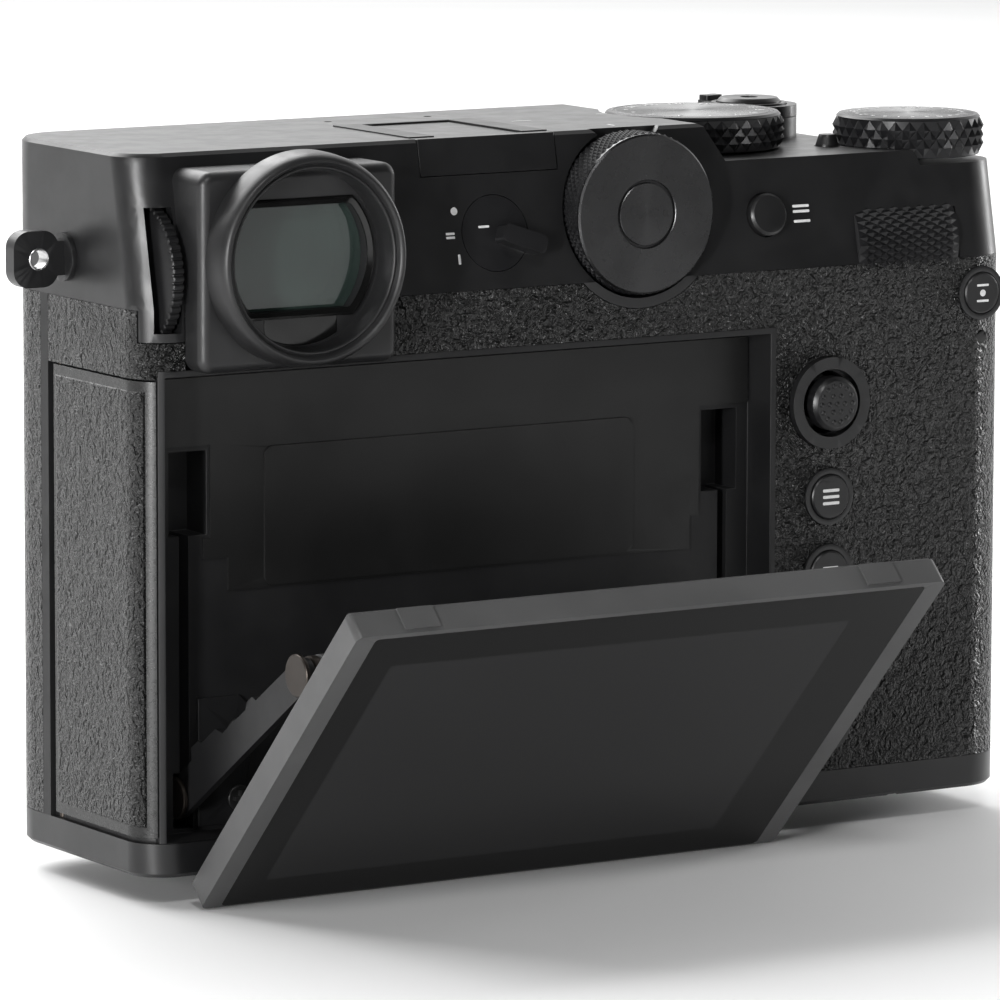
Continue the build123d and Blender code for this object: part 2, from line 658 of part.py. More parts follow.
# ---- screen ------------------------------------------------------------------------------------
screen_plane = Plane(
    origin=(screen_x, screen_top_y, screen_top_z),
    x_dir=(-1, 0, 0),
    z_dir=(0, math.cos(screen_tilt), -math.sin(screen_tilt)),
)
glass_height = 54.7
glass_thickness = 0.9
glass_centre = (0, -0.8 - glass_height / 2)
with BuildPart() as screen_frame:
    with BuildSketch(screen_plane.offset(-screen_depth)):
        with Locations((0, -screen_height / 2)):
            RectangleRounded(screen_width, screen_height, 0.9)
    extrude(amount=screen_depth)
    chamfer(screen_frame.faces().sort_by(Axis((0, 0, 0), screen_plane.z_dir))[0].edges(), 0.55)
    with BuildSketch(screen_plane.offset(-glass_thickness)):
        with Locations(glass_centre):
            RectangleRounded(glass_width + 0.1, glass_height + 0.1, 0.6)
    extrude(amount=glass_thickness, mode=Mode.SUBTRACT)
    with BuildSketch(screen_plane.offset(-screen_depth + 0.8)):
        with Locations(glass_centre):
            Rectangle(glass_width - 3, glass_height - 5)
    extrude(amount=screen_depth, mode=Mode.SUBTRACT)
    for side in (-1, 1):
        ear_x = screen_x + side * (arm_plane_x - 2.6)
        ear_plane = Plane(
            origin=(ear_x, upper_pivot_y, upper_pivot_z),
            x_dir=(0, math.cos(screen_tilt), -math.sin(screen_tilt)),
            z_dir=(side, 0, 0),
        )
        with BuildSketch(ear_plane.offset(-0.5)):
            Circle(2.4)
            with Locations((1.7, 0)):
                Rectangle(3.4, 4.8)
            Circle(arm_hole, mode=Mode.SUBTRACT)
        extrude(amount=1.0)
    with BuildSketch(screen_plane.offset(-screen_depth)):
        with Locations((37.0, -48.0), (-37.0, -48.0)):
            RectangleRounded(5.0, 9.0, 0.8)
    extrude(amount=-1.6)
    with BuildSketch(Plane(origin=screen_plane.origin, x_dir=(-1, 0, 0),
                           z_dir=(0, math.sin(screen_tilt), math.cos(screen_tilt)))):
        with Locations((-34.0, 2.1), (34.0, 2.1)):
            Rectangle(5.0, 3.2)
    extrude(amount=0.25)
save(screen_frame.part, "screen_frame")

with BuildPart() as screen_glass:
    with BuildSketch(screen_plane.offset(-glass_thickness)):
        with Locations(glass_centre):
            RectangleRounded(glass_width, glass_height, 0.6)
    extrude(amount=glass_thickness)
save(screen_glass.part, "screen_glass")

with BuildPart() as display_panel:
    with BuildSketch(screen_plane.offset(-screen_depth + 0.85)):
        with Locations(glass_centre):
            Rectangle(glass_width - 3.2, glass_height - 5.2)
    extrude(amount=screen_depth - 0.85 - glass_thickness - 0.05)
save(display_panel.part, "display_panel")

# ---- finder ------------------------------------------------------------------------------------
window_radius = 9.9
window_half = 6.7
cup_hole = 11.3


def window(plane, shrink, thickness):
    """Round window cut off flat above and below."""
    with BuildPart() as piece:
        with BuildSketch(plane):
            Circle(window_radius - shrink)
            Rectangle(3 * window_radius, 2 * (window_half - shrink), mode=Mode.INTERSECT)
        extrude(amount=thickness)
    return piece.part


def cap_height(radius, bulge, x):
    """Height of a spherical bulge over its rim, at distance x from its middle."""
    sphere = (radius**2 + bulge**2) / (2 * bulge)
    return math.sqrt(sphere**2 - x**2) - (sphere - bulge)


def lens_disc(centre_x, centre_z, front, rear, radius, bulge_front, bulge_rear):
    """Round glass element along Y with spherical faces, bulging by the two given amounts."""
    half = radius / 2
    front_half = front - cap_height(radius, bulge_front, half)
    rear_half = rear + cap_height(radius, bulge_rear, half)
    with BuildPart() as element:
        with BuildSketch(Plane(origin=(centre_x, 0, centre_z), x_dir=(1, 0, 0), z_dir=(0, 0, 1))):
            with BuildLine():
                ThreePointArc((0, front - bulge_front), (half, front_half), (radius, front))
                Line((radius, front), (radius, rear))
                ThreePointArc((radius, rear), (half, rear_half), (0, rear + bulge_rear))
                Line((0, rear + bulge_rear), (0, front - bulge_front))
            make_face()
        revolve(axis=Axis((centre_x, 0, centre_z), (0, 1, 0)))
    return element.part


finder_plane = rearward(finder[0], 0, finder[1])
with BuildPart() as eye_sensor:
    with BuildSketch(finder_plane.offset(block_face_y - 0.8)):
        Circle(cup_hole - 0.3)
        with Locations((0, -9.3)):
            Rectangle(10.6, 4.4, mode=Mode.INTERSECT)
    extrude(amount=0.85)
save(eye_sensor.part, "eye_sensor")

with BuildPart() as eyepiece_block:
    add(block((block_right, block_left), (14.0, block_face_y), (block_bottom, block_top)))
    fillet(eyepiece_block.edges().filter_by(Axis.Y), 1.8)
    fillet(eyepiece_block.faces().sort_by(Axis.Y)[-1].edges(), 1.3)
    for taken in (
        slab(0, 0, cover_z),
        cover_form(0, cover_z),
        rod(finder_plane.offset(10.0), 10.3, 8.5),
        window(finder_plane.offset(16.0), 0, 10.0),
        eye_sensor.part,
    ):
        add(taken, mode=Mode.SUBTRACT)
save(eyepiece_block.part, "eyepiece_block")

with BuildPart() as eyecup_ring:
    add(tube(finder_plane.offset(block_face_y), finder_radius, cup_hole, cup_face_y - block_face_y))
    rim = eyecup_ring.faces().sort_by(Axis.Y)[-1]
    chamfer(rim.inner_wires()[0].edges(), 1.2)
    fillet(eyecup_ring.faces().sort_by(Axis.Y)[-1].edges(), 0.45)
save(eyecup_ring.part, "eyecup_ring")

with BuildPart() as eyepiece_glass:
    add(window(finder_plane.offset(20.2), 0.05, 0.9))
    add(lens_disc(*finder, 14.0, 15.2, 9.1, 1.4, 2.8))
save(eyepiece_glass.part, "eyepiece_glass")

with BuildPart() as finder_module:
    add(tube(finder_plane.offset(-8.0), 10.2, 9.15, 24.0))
    add(block((finder[0] - 8.0, finder[0] + 8.0), (-10.5, -8.0), (finder[1] - 6.2, finder[1] + 6.2)))
save(finder_module.part, "finder_module")

with BuildPart() as dioptre_wheel:
    start = sideways(*dioptre_axis).offset(-dioptre_width / 2)
    add(tube(start, dioptre_radius, 1.0 + pin_clearance, dioptre_width))
save(dioptre_wheel.part, "dioptre_wheel")

# ---- dials and wheels --------------------------------------------------------------------------
with BuildPart() as shutter_speed_dial:
    add(rod(upward(*shutter_dial, deck_z + 0.2), shutter_dial_radius, top_z + 0.1 - deck_z - 0.2, 0.4))
    add(rod(upward(*shutter_dial, 82.5), spindle_radius, 4.5))
save(shutter_speed_dial.part, "shutter_speed_dial")

with BuildPart() as exposure_dial_piece:
    add(rod(upward(*exposure_dial, ledge_z + 0.7), exposure_dial_radius, 5.45, 0.4))
    add(rod(upward(*exposure_dial, 79.2), spindle_radius, 6.0))
save(exposure_dial_piece.part, "exposure_dial")

with BuildPart() as ratio_dial_piece:
    face = rearward(ratio_dial[0], ratio_face_y, ratio_dial[1])
    back = rearward(ratio_dial[0], 14.5, ratio_dial[1])
    add(rod(back, ratio_dial_radius, ratio_face_y - 14.5, 0.3))
    add(rod(back.offset(-3.5), spindle_radius, 4.0))
    add(tube(face.offset(-0.3), 4.35, 4.15, 0.4), mode=Mode.SUBTRACT)
    for side in (-1, 1):
        add(rod(rearward(ratio_dial[0] + side * 2.9, ratio_face_y - 1.0, ratio_dial[1]), 0.45, 2.0),
            mode=Mode.SUBTRACT)
save(ratio_dial_piece.part, "ratio_dial")

for name, (x, y, z, radius) in wheel_centres.items():
    with BuildPart() as wheel:
        add(rod(upward(x, y, z - 2.85), radius, 5.7, 0.2))
        add(rod(upward(x, y, 69.2), 1.5, z - 71.0))
    save(wheel.part, name)

# ---- shutter release and power switch ----------------------------------------------------------
with BuildPart() as shutter_release:
    add(rod(upward(*release, 89.0), release_radius, 2.5, 0.5))
    add(rod(upward(*release, 83.0), 2.5, 6.5))
    add(rod(upward(*release, 88.0), 1.25, 5.0), mode=Mode.SUBTRACT)
save(shutter_release.part, "shutter_release")

switch_angle = -80.0
with BuildPart() as power_switch:
    ring_plane = Plane(
        origin=(*release, deck_z + 2.85),
        x_dir=(math.cos(math.radians(switch_angle)), math.sin(math.radians(switch_angle)), 0),
        z_dir=(0, 0, 1),
    )
    with BuildSketch(ring_plane):
        Circle(collar_radius)
        with Locations((collar_radius, 0)):
            RectangleRounded(4.4, 3.4, 0.8)
        Circle(5.2, mode=Mode.SUBTRACT)
    extrude(amount=1.5)
    with BuildSketch(ring_plane.offset(1.4)):
        with Locations((7.5, 0)):
            RectangleRounded(1.9, 3.0, 0.5)
    extrude(amount=0.8)
save(power_switch.part, "power_switch")

with BuildPart() as function_button:
    with BuildSketch(upward(*function_nub, deck_z)):
        Circle(1.6)
    with BuildSketch(upward(*function_nub, deck_z + 1.6)):
        Circle(1.1)
    loft()
    add(rod(upward(*function_nub, 83.0), 1.6, deck_z - 83.0))
save(function_button.part, "function_button")

# ---- focus selector, lock button and the buttons on the back -----------------------------------
lever_tilt = math.degrees(math.atan2(2.1, 6.1))
with BuildPart() as focus_selector:
    add(rod(selector_plane.offset(-2.1), selector_radius, 2.1))
    add(rod(selector_plane.offset(-7.0), 1.5, 5.0))
    with BuildSketch(selector_plane):
        with Locations(Location((3.2, -1.1), -lever_tilt)):
            RectangleRounded(6.4, 2.4, 0.6)
    extrude(amount=2.3)
save(focus_selector.part, "focus_selector")

with BuildPart() as focus_lock_button:
    add(rod(lock_plane.offset(-5.0), 2.8, 6.1, 0.35))
save(focus_lock_button.part, "focus_lock_button")

rear_skin_y = rear_y - skin
with BuildPart() as button_rings:
    for z in column_z.values():
        add(tube(rearward(column_x, rear_skin_y, z), 3.8, 3.05, 1.05))
    add(cut(tube(rearward(quick_button[0], 12.0, quick_button[1]), 3.6, 2.85, 6.9), slab(skin, 0, far)))
    joystick_ring = tube(rearward(joystick[0], rear_skin_y, joystick[1]), 6.1, 4.5, 1.7)
    add(joystick_ring)
save(button_rings.part, "button_rings")

for name, z in column_z.items():
    with BuildPart() as button:
        add(rod(rearward(column_x, 14.0, z), 2.5, 4.6))
        add(rod(rearward(column_x, rear_skin_y + 0.45, z), 2.95, 0.95, 0.2))
    save(button.part, name)
with BuildPart() as quick_menu_button:
    add(rod(rearward(quick_button[0], 13.0, quick_button[1]), 2.4, 5.4))
    add(rod(rearward(quick_button[0], 18.3, quick_button[1]), 2.75, 0.85, 0.2))
save(quick_menu_button.part, "quick_menu_button")

stick_pivot_y = 14.25
save(tube(rearward(joystick[0], stick_pivot_y - 0.75, joystick[1]), 3.6, 2.4, 1.5), "joystick_gimbal")
with BuildPart() as joystick_cap:
    add(rod(rearward(joystick[0], stick_pivot_y - 1.2, joystick[1]), 1.6, 6.0))
    add(rod(rearward(joystick[0], 18.9, joystick[1]), 3.6, 2.1, 0.5))
save(joystick_cap.part, "joystick_cap")

status_lamp = cut(rod(rearward(lamp[0], 14.0, lamp[1]), 0.85, 4.6), slab(2.9, 0, far))
focus_lamp = rod(rearward(-34.0, front_y + 0.15, 80.0), 3.5, 3.0)
save(join(status_lamp, focus_lamp), "lamp_windows")

# ---- accessory shoe and its slide-in cover -----------------------------------------------------
shoe_floor = top_z - shoe_depth
with BuildPart() as hot_shoe:
    add(block((-shoe_half, shoe_half), (shoe_front_y, 13.0), (shoe_floor, top_z + 0.15)))
    add(block((-9.4, 9.4), (shoe_front_y + 1.0, far), (top_z - 3.4, top_z - 1.25)), mode=Mode.SUBTRACT)
    add(block((-6.6, 6.6), (shoe_front_y + 1.0, far), (top_z - 3.4, far)), mode=Mode.SUBTRACT)
    for x, y in ((0, 2.0), (-4.0, -1.5), (4.0, -1.5), (-4.0, 5.0), (4.0, 5.0)):
        add(rod(upward(x, y, top_z - 3.4), 0.9, 0.12))
save(hot_shoe.part, "hot_shoe")
with BuildPart() as shoe_cover:
    add(block((-9.25, 9.25), (shoe_front_y + 1.3, 13.1), (top_z - 3.1, top_z - 1.4)))
    add(block((-6.45, 6.45), (shoe_front_y + 1.3, 13.1), (top_z - 3.1, top_z - 0.1)))
    add(block((-shoe_half + 0.12, shoe_half - 0.12), (13.1, far), (shoe_floor + 0.12, top_z)))
save(overlap_of(shoe_cover.part, cover_form(0, cover_z)), "shoe_cover")

# ---- front of the body -------------------------------------------------------------------------
with BuildPart() as crop_lever_piece:
    lever_plane = rearward(crop_lever[0], -20.8, crop_lever[1])
    add(rod(lever_plane, 4.0, 2.7))
    add(rod(lever_plane, 1.0, 7.0))
    with BuildSketch(lever_plane.offset(-1.2)):
        with Locations((0, -4.0)):
            RectangleRounded(3.0, 7.0, 1.0)
    extrude(amount=2.4)
save(crop_lever_piece.part, "crop_lever")

lug_hole = 1.4
lug_reach = 4.4
with BuildPart() as strap_lugs:
    for side in (-1, 1):
        end_x = left_x if side > 0 else right_x
        lug_plane = Plane(origin=(end_x, lug_y, lug_z), x_dir=(side, 0, 0), z_dir=(0, 1, 0))
        with BuildSketch(lug_plane.offset(-1.1)):
            with Locations((lug_reach + 0.4, 0)):
                RectangleRounded(6.4, 7.2, 2.2)
            with Locations((lug_reach / 2, 0)):
                Rectangle(lug_reach, 4.4)
            with Locations((lug_reach, 0)):
                Circle(lug_hole, mode=Mode.SUBTRACT)
        extrude(amount=2.2)
        add(rod(Plane(origin=(end_x, lug_y, lug_z), z_dir=(side, 0, 0)), 3.1, 0.7))
        add(rod(Plane(origin=(end_x, lug_y, lug_z), z_dir=(-side, 0, 0)), 1.2, 3.0))
save(strap_lugs.part, "strap_lugs")

# ---- lens --------------------------------------------------------------------------------------
lens_plane = rearward(0, 0, axis_z)
thread_depth = 4.5
with BuildPart() as lens_barrel:
    add(tube(lens_plane.offset(lens_front_y), barrel_radius, bore_radius, 37.3))
    add(rod(lens_plane.offset(lens_front_y), filter_radius, thread_depth), mode=Mode.SUBTRACT)
    add(tube(lens_plane.offset(-22.0), flange_radius, bore_radius, 22.0 - rear_skin_y))
ring_hole = barrel_radius + ring_clearance
save(tube(lens_plane.offset(-28.8), 31.0, ring_hole, 6.5), "aperture_ring")
save(tube(lens_plane.offset(-41.4), 30.4, ring_hole, 12.3), "focus_ring")
save(tube(lens_plane.offset(lens_front_y), 29.2, barrel_radius, 7.6), "front_collar")


save(lens_disc(0, axis_z, -42.5, -40.0, 18.95, 2.0, 1.0), "front_element")
save(join(lens_barrel.part, tube(lens_plane.offset(-44.6), bore_radius, 19.0, 6.0)), "lens_barrel")
save(tube(lens_plane.offset(-31.0), bore_radius - 0.05, 8.0, 1.6), "leaf_shutter")
with BuildPart() as focus_group:
    add(tube(lens_plane.offset(-26.5), bore_radius - 0.08, 15.0, 7.0))
    add(lens_disc(0, axis_z, -25.0, -21.5, 15.0, 0.8, 1.0))
save(focus_group.part, "focus_group")

# ---- electronics -------------------------------------------------------------------------------
with BuildPart() as image_sensor:
    add(block((-28.0, 28.0), (0.0, 4.5), (axis_z - 22.0, axis_z + 22.0)))
    add(block((-22.5, 22.5), (-1.0, 0.0), (axis_z - 17.0, axis_z + 17.0)))
save(image_sensor.part, "image_sensor")
with BuildPart() as main_board:
    add(block((-33.0, 38.0), (7.2, 8.4), (8.0, 62.0)))
    for x, z, half in ((-20.0, 45.0, 7.0), (4.0, 42.0, 9.0), (24.0, 24.0, 6.0), (-16.0, 22.0, 5.0)):
        add(block((x - half, x + half), (8.4, 9.6), (z - half, z + half)))
save(main_board.part, "main_board")
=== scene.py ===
"""Looks for a compact rangefinder-style camera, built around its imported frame.

Lengths in the builders are millimetres, and the frame and the lights are in metres.
"""

import math

import bpy
from mathutils import Matrix, Vector


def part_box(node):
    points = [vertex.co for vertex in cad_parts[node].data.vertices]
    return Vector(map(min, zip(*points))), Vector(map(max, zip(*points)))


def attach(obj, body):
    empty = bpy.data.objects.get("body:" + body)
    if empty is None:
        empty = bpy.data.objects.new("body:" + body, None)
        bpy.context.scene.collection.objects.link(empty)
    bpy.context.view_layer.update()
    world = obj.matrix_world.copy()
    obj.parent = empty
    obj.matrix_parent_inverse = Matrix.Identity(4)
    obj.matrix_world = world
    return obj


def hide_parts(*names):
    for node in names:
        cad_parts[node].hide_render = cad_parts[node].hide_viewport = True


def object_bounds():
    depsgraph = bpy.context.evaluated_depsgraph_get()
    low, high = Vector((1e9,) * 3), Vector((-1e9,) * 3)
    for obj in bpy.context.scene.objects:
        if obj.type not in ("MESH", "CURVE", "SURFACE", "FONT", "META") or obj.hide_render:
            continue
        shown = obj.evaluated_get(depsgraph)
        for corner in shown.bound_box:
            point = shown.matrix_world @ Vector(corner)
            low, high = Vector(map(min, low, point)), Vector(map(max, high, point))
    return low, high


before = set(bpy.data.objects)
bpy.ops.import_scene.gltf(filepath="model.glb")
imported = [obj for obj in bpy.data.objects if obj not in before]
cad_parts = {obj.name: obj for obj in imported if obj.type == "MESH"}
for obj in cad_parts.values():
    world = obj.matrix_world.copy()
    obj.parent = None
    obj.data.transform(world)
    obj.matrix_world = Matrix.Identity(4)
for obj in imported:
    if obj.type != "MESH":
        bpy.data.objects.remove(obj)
cad_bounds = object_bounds()

MM = 0.001
LEAN = math.radians(11.4)  # the top cover's rear wall leans forwards by this much
TILT = math.radians(44.1)  # the screen's tilt at rest
REAR = Vector((0, 1, 0))
UP = Vector((0, 0, 1))
LEFT = Vector((1, 0, 0))
WALL = Vector((0, math.cos(LEAN), math.sin(LEAN)))
STOP_STEP = 12.0  # degrees between two aperture numbers
RING_HOLE = 27.48  # bore radius of the lens rings
DIAL_TOP_INSET = 0.03  # the dials' spun tops lie this far below their highest point
SPINDLE = 2.0  # radius of the dials' spindles
AXLE = 1.05  # radius of the wheels' axle holes
DECK_GAP = 86.45  # height of the underside of the shutter dial's knob
LEDGE_GAP = 84.9  # height of the underside of the exposure dial's knob
LUG_HOLE = 1.42  # radius of the hole in a strap lug
LUG_HOLE_IN = 3.6  # from the lug's end to the middle of its hole


def box_mm(node):
    """Lowest and highest corner of a CAD node, in millimetres."""
    low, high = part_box(node)
    return low / MM, high / MM


def middle(node):
    """Middle of a CAD node's box, in millimetres."""
    low, high = box_mm(node)
    return (low + high) / 2


# ---- materials ----------------------------------------------------------------------------------
class Graph:
    """Short names for building one material's nodes."""

    def __init__(self, name):
        self.material = bpy.data.materials.new(name)
        self.material.use_nodes = True
        self.tree = self.material.node_tree
        self.shader = self.tree.nodes["Principled BSDF"]
        self.place = self.add("ShaderNodeTexCoord").outputs["Object"]

    def add(self, kind, **values):
        """A new node with its properties or inputs set by name."""
        node = self.tree.nodes.new(kind)
        for key, value in values.items():
            if key in node.inputs:
                node.inputs[key].default_value = value
            else:
                setattr(node, key, value)
        return node

    def link(self, source, target):
        """Joins an output to an input."""
        self.tree.links.new(source, target)

    def noise(self, scale, detail=2.0, roughness=0.5, distortion=0.0, place=None):
        """Noise value with features about 1/scale metres across."""
        node = self.add("ShaderNodeTexNoise", Scale=scale, Detail=detail)
        node.inputs["Roughness"].default_value = roughness
        node.inputs["Distortion"].default_value = distortion
        self.link(place or self.place, node.inputs["Vector"])
        return node.outputs[0]

    def ramp(self, value, low, high, out_low=0.0, out_high=1.0, smooth=True):
        """Maps a value's range to another range, clamped."""
        node = self.add("ShaderNodeMapRange")
        node.interpolation_type = "SMOOTHSTEP" if smooth else "LINEAR"
        for socket, number in zip(node.inputs[1:5], (low, high, out_low, out_high)):
            socket.default_value = number
        self.link(value, node.inputs[0])
        return node.outputs[0]

    def math(self, operation, first, second):
        """One arithmetic step; each operand is a socket or a number."""
        node = self.add("ShaderNodeMath")
        node.operation = operation
        for socket, operand in zip(node.inputs, (first, second)):
            if isinstance(operand, (int, float)):
                socket.default_value = operand
            else:
                self.link(operand, socket)
        return node.outputs[0]

    def mix_colour(self, factor, first, second):
        """Blend of two fixed colours by a factor socket."""
        node = self.add("ShaderNodeMix")
        node.data_type = "RGBA"
        self.link(factor, node.inputs[0])
        node.inputs[6].default_value = (*first, 1)
        node.inputs[7].default_value = (*second, 1)
        return node.outputs[2]

    def bump(self, height, distance, strength=1.0):
        """Feeds a height in units of distance (millimetres) to the shader's normal."""
        node = self.add("ShaderNodeBump")
        node.inputs["Strength"].default_value = strength
        node.inputs["Distance"].default_value = distance * MM
        self.link(height, node.inputs["Height"])
        self.link(node.outputs[0], self.shader.inputs["Normal"])

    def base(self, **values):
        """Sets fixed inputs on the shader itself."""
        for key, value in values.items():
            self.shader.inputs[key.replace("_", " ")].default_value = value


def coated(name, dark, light, rough, grain=0.004, speckle=7000, metallic=0.0, gloss=0.4):
    """Fine matte coating: slight colour drift, faint speckle and an uneven sheen."""
    g = Graph(name)
    drift = g.ramp(g.noise(60, 3), 0.35, 0.65)
    g.link(g.mix_colour(drift, dark, light), g.shader.inputs["Base Color"])
    patch = g.ramp(g.noise(220, 4, 0.6), 0.3, 0.7, rough - 0.03, rough + 0.04)
    g.link(patch, g.shader.inputs["Roughness"])
    g.bump(g.noise(speckle, 2), grain, 0.8)
    g.base(Metallic=metallic, Specular_IOR_Level=gloss)
    return g.material


def brushed_round(name, colour, rough, axis, centre):
    """Turned metal face: anisotropic, with fine rings about an axis through centre (millimetres)."""
    g = Graph(name)
    arm = g.add("ShaderNodeVectorMath", operation="SUBTRACT")
    g.link(g.place, arm.inputs[0])
    arm.inputs[1].default_value = tuple(centre * MM)
    around = g.add("ShaderNodeVectorMath", operation="CROSS_PRODUCT")
    around.inputs[0].default_value = tuple(axis)
    g.link(arm.outputs[0], around.inputs[1])
    turned = g.add("ShaderNodeVectorTransform", vector_type="VECTOR", convert_from="OBJECT",
                   convert_to="WORLD")
    g.link(around.outputs[0], turned.inputs[0])
    unit = g.add("ShaderNodeVectorMath", operation="NORMALIZE")
    g.link(turned.outputs[0], unit.inputs[0])
    g.link(unit.outputs[0], g.shader.inputs["Tangent"])
    g.base(Metallic=0.9, Anisotropic=0.85)
    drift = g.ramp(g.noise(80, 3), 0.35, 0.65)
    lighter = tuple(c * 1.25 for c in colour)
    g.link(g.mix_colour(drift, colour, lighter), g.shader.inputs["Base Color"])
    patch = g.ramp(g.noise(400, 3), 0.3, 0.7, rough - 0.03, rough + 0.04)
    g.link(patch, g.shader.inputs["Roughness"])
    g.bump(g.noise(9000, 2), 0.002, 0.5)
    return g.material


def leather_grain(name, rim=None):
    """Coarse pebbled covering: glossy plateaus with wrinkled valleys between them, the valleys coloured
    darker as painted shade in the creases.

    rim is a socket that is 1 where the covering gives way to a smooth border.
    """
    g = Graph(name)
    cells = g.noise(700, 1.0, 0.4, 1.0)
    plateau = g.ramp(cells, 0.46, 0.56)
    wrinkle = g.noise(1500, 1.5, 0.5, 1.3)
    height = g.math("ADD", plateau, g.math("MULTIPLY", wrinkle, 1.2))
    # Base colour follows the plateau mask: the valleys are painted darker than the plateaus, as painted
    # shade in the creases.
    crease_shade_tone = g.mix_colour(plateau, (0.006, 0.006, 0.006), (0.009, 0.009, 0.009))
    shine = g.ramp(wrinkle, 0.3, 0.7, 0.24, 0.36)
    if rim:
        border = rim(g)
        height = g.math("MULTIPLY", height, g.math("SUBTRACT", 1.0, border))
    g.bump(height, 0.9, 1.0)
    g.link(crease_shade_tone, g.shader.inputs["Base Color"])
    g.link(shine, g.shader.inputs["Roughness"])
    g.base(Specular_IOR_Level=0.5)
    return g.material


def door_border(g):
    """1 on the port door's smooth rim and 0 on its inlaid covering."""
    low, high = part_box("port_door")
    split = g.add("ShaderNodeSeparateXYZ")
    g.link(g.place, split.inputs[0])
    x, y, z = split.outputs
    rim = 1.3 * MM
    sides = [
        g.ramp(z, low.z + rim, low.z + rim + 2e-4, 1, 0, False),
        g.ramp(z, high.z - rim - 2e-4, high.z - rim, 0, 1, False),
        g.ramp(y, low.y + rim, low.y + rim + 2e-4, 1, 0, False),
        g.ramp(x, low.x + rim * 0.8, low.x + rim * 0.8 + 2e-4, 1, 0, False),
    ]
    border = sides[0]
    for side in sides[1:]:
        border = g.math("MAXIMUM", border, side)
    return border


def rubber(name, colour, rough, grain=0.01):
    """Soft matte rubber with a very fine grain."""
    g = Graph(name)
    drift = g.ramp(g.noise(150, 3), 0.3, 0.7)
    lighter = tuple(c * 1.3 for c in colour)
    g.link(g.mix_colour(drift, colour, lighter), g.shader.inputs["Base Color"])
    patch = g.ramp(g.noise(500, 3), 0.3, 0.7, rough - 0.04, rough + 0.04)
    g.link(patch, g.shader.inputs["Roughness"])
    g.bump(g.noise(5200, 3), grain, 0.7)
    return g.material


def paint_white(name, level):
    """Filled engraving: slightly uneven white paint."""
    g = Graph(name)
    worn = g.ramp(g.noise(1800, 3), 0.3, 0.7)
    g.link(g.mix_colour(worn, (level * 0.88,) * 3, (level,) * 3), g.shader.inputs["Base Color"])
    g.link(g.ramp(worn, 0, 1, 0.45, 0.6), g.shader.inputs["Roughness"])
    g.bump(g.noise(9000, 2), 0.003, 0.4)
    return g.material


def glossy(name, colour, rough):
    """Polished dark plastic or glass with the faintest waviness."""
    g = Graph(name)
    drift = g.ramp(g.noise(90, 3), 0.35, 0.65)
    lighter = tuple(c * 1.3 for c in colour)
    g.link(g.mix_colour(drift, colour, lighter), g.shader.inputs["Base Color"])
    g.link(g.ramp(g.noise(300, 3), 0.3, 0.7, rough * 0.8, rough * 1.3), g.shader.inputs["Roughness"])
    g.bump(g.noise(120, 2), 0.01, 0.15)
    return g.material


def screen_face(name):
    """Black cover glass with the lit area a shade lighter than its border."""
    g = Graph(name)
    high = box_mm("screen_glass")[1]
    split = g.add("ShaderNodeSeparateXYZ")
    g.link(g.place, split.inputs[0])
    x, y, z = split.outputs
    down = g.math("ADD", g.math("MULTIPLY", y, -math.sin(TILT)), g.math("MULTIPLY", z, -math.cos(TILT)))
    top_edge = (-high.y * math.sin(TILT) - high.z * math.cos(TILT)) * MM
    run = g.math("SUBTRACT", down, top_edge)
    fade = 0.15 * MM
    area_x = (-28.7 * MM, 39.0 * MM)
    area_run = (6.25 * MM, 50.25 * MM)
    edges = [
        g.ramp(x, area_x[0] - fade, area_x[0] + fade, smooth=False),
        g.ramp(x, area_x[1] - fade, area_x[1] + fade, 1.0, 0.0, smooth=False),
        g.ramp(run, area_run[0] - fade, area_run[0] + fade, smooth=False),
        g.ramp(run, area_run[1] - fade, area_run[1] + fade, 1.0, 0.0, smooth=False),
    ]
    area = edges[0]
    for edge in edges[1:]:
        area = g.math("MULTIPLY", area, edge)
    g.link(g.mix_colour(area, (0.0010, 0.0010, 0.0011), (0.0125, 0.0125, 0.0130)),
           g.shader.inputs["Base Color"])
    g.link(g.ramp(g.noise(300, 3), 0.3, 0.7, 0.10, 0.13), g.shader.inputs["Roughness"])
    g.bump(g.noise(100, 2), 0.004, 0.1)
    g.base(Specular_IOR_Level=0.22)
    return g.material


def coated_glass(name, tint, rough, alpha):
    """Coated lens glass: tinted, partly see-through and mirror smooth."""
    g = Graph(name)
    drift = g.ramp(g.noise(140, 2), 0.35, 0.65)
    lighter = tuple(min(1, c * 1.35) for c in tint)
    g.link(g.mix_colour(drift, tint, lighter), g.shader.inputs["Base Color"])
    g.link(g.ramp(g.noise(500, 2), 0.3, 0.7, rough * 0.7, rough * 1.4), g.shader.inputs["Roughness"])
    g.base(Alpha=alpha, Specular_IOR_Level=0.9)
    return g.material


black_metal = coated("black_metal", (0.007, 0.007, 0.0075), (0.011, 0.011, 0.0115), 0.36,
                     gloss=0.5)
dial_metal = coated("dial_metal", (0.010, 0.010, 0.011), (0.016, 0.016, 0.017), 0.33,
                    metallic=0.2)
casting = coated("black_casting", (0.006, 0.006, 0.0065), (0.010, 0.010, 0.0105), 0.5, 0.01, 3500)
# Painted highlight: the screen frame's dark coating is coloured far lighter than the other black metal,
# standing for the light its top edge catches.
screen_metal_painted_sheen = coated("screen_metal_painted_sheen", (0.065, 0.065, 0.0655), (0.080, 0.080, 0.0805), 0.40)
satin_plastic = coated("satin_plastic", (0.006, 0.006, 0.0065), (0.010, 0.010, 0.0105), 0.45, 0.006,
                       4500)
plate_plastic = coated("plate_plastic", (0.006, 0.006, 0.006), (0.009, 0.009, 0.009), 0.42, 0.006, 4500)
dark_steel = coated("dark_steel", (0.012, 0.012, 0.012), (0.022, 0.022, 0.022), 0.42, 0.004,
                    5000, 0.4)
bright_steel = coated("bright_steel", (0.50, 0.50, 0.50), (0.62, 0.62, 0.62), 0.28, 0.003, 4000, 1.0)
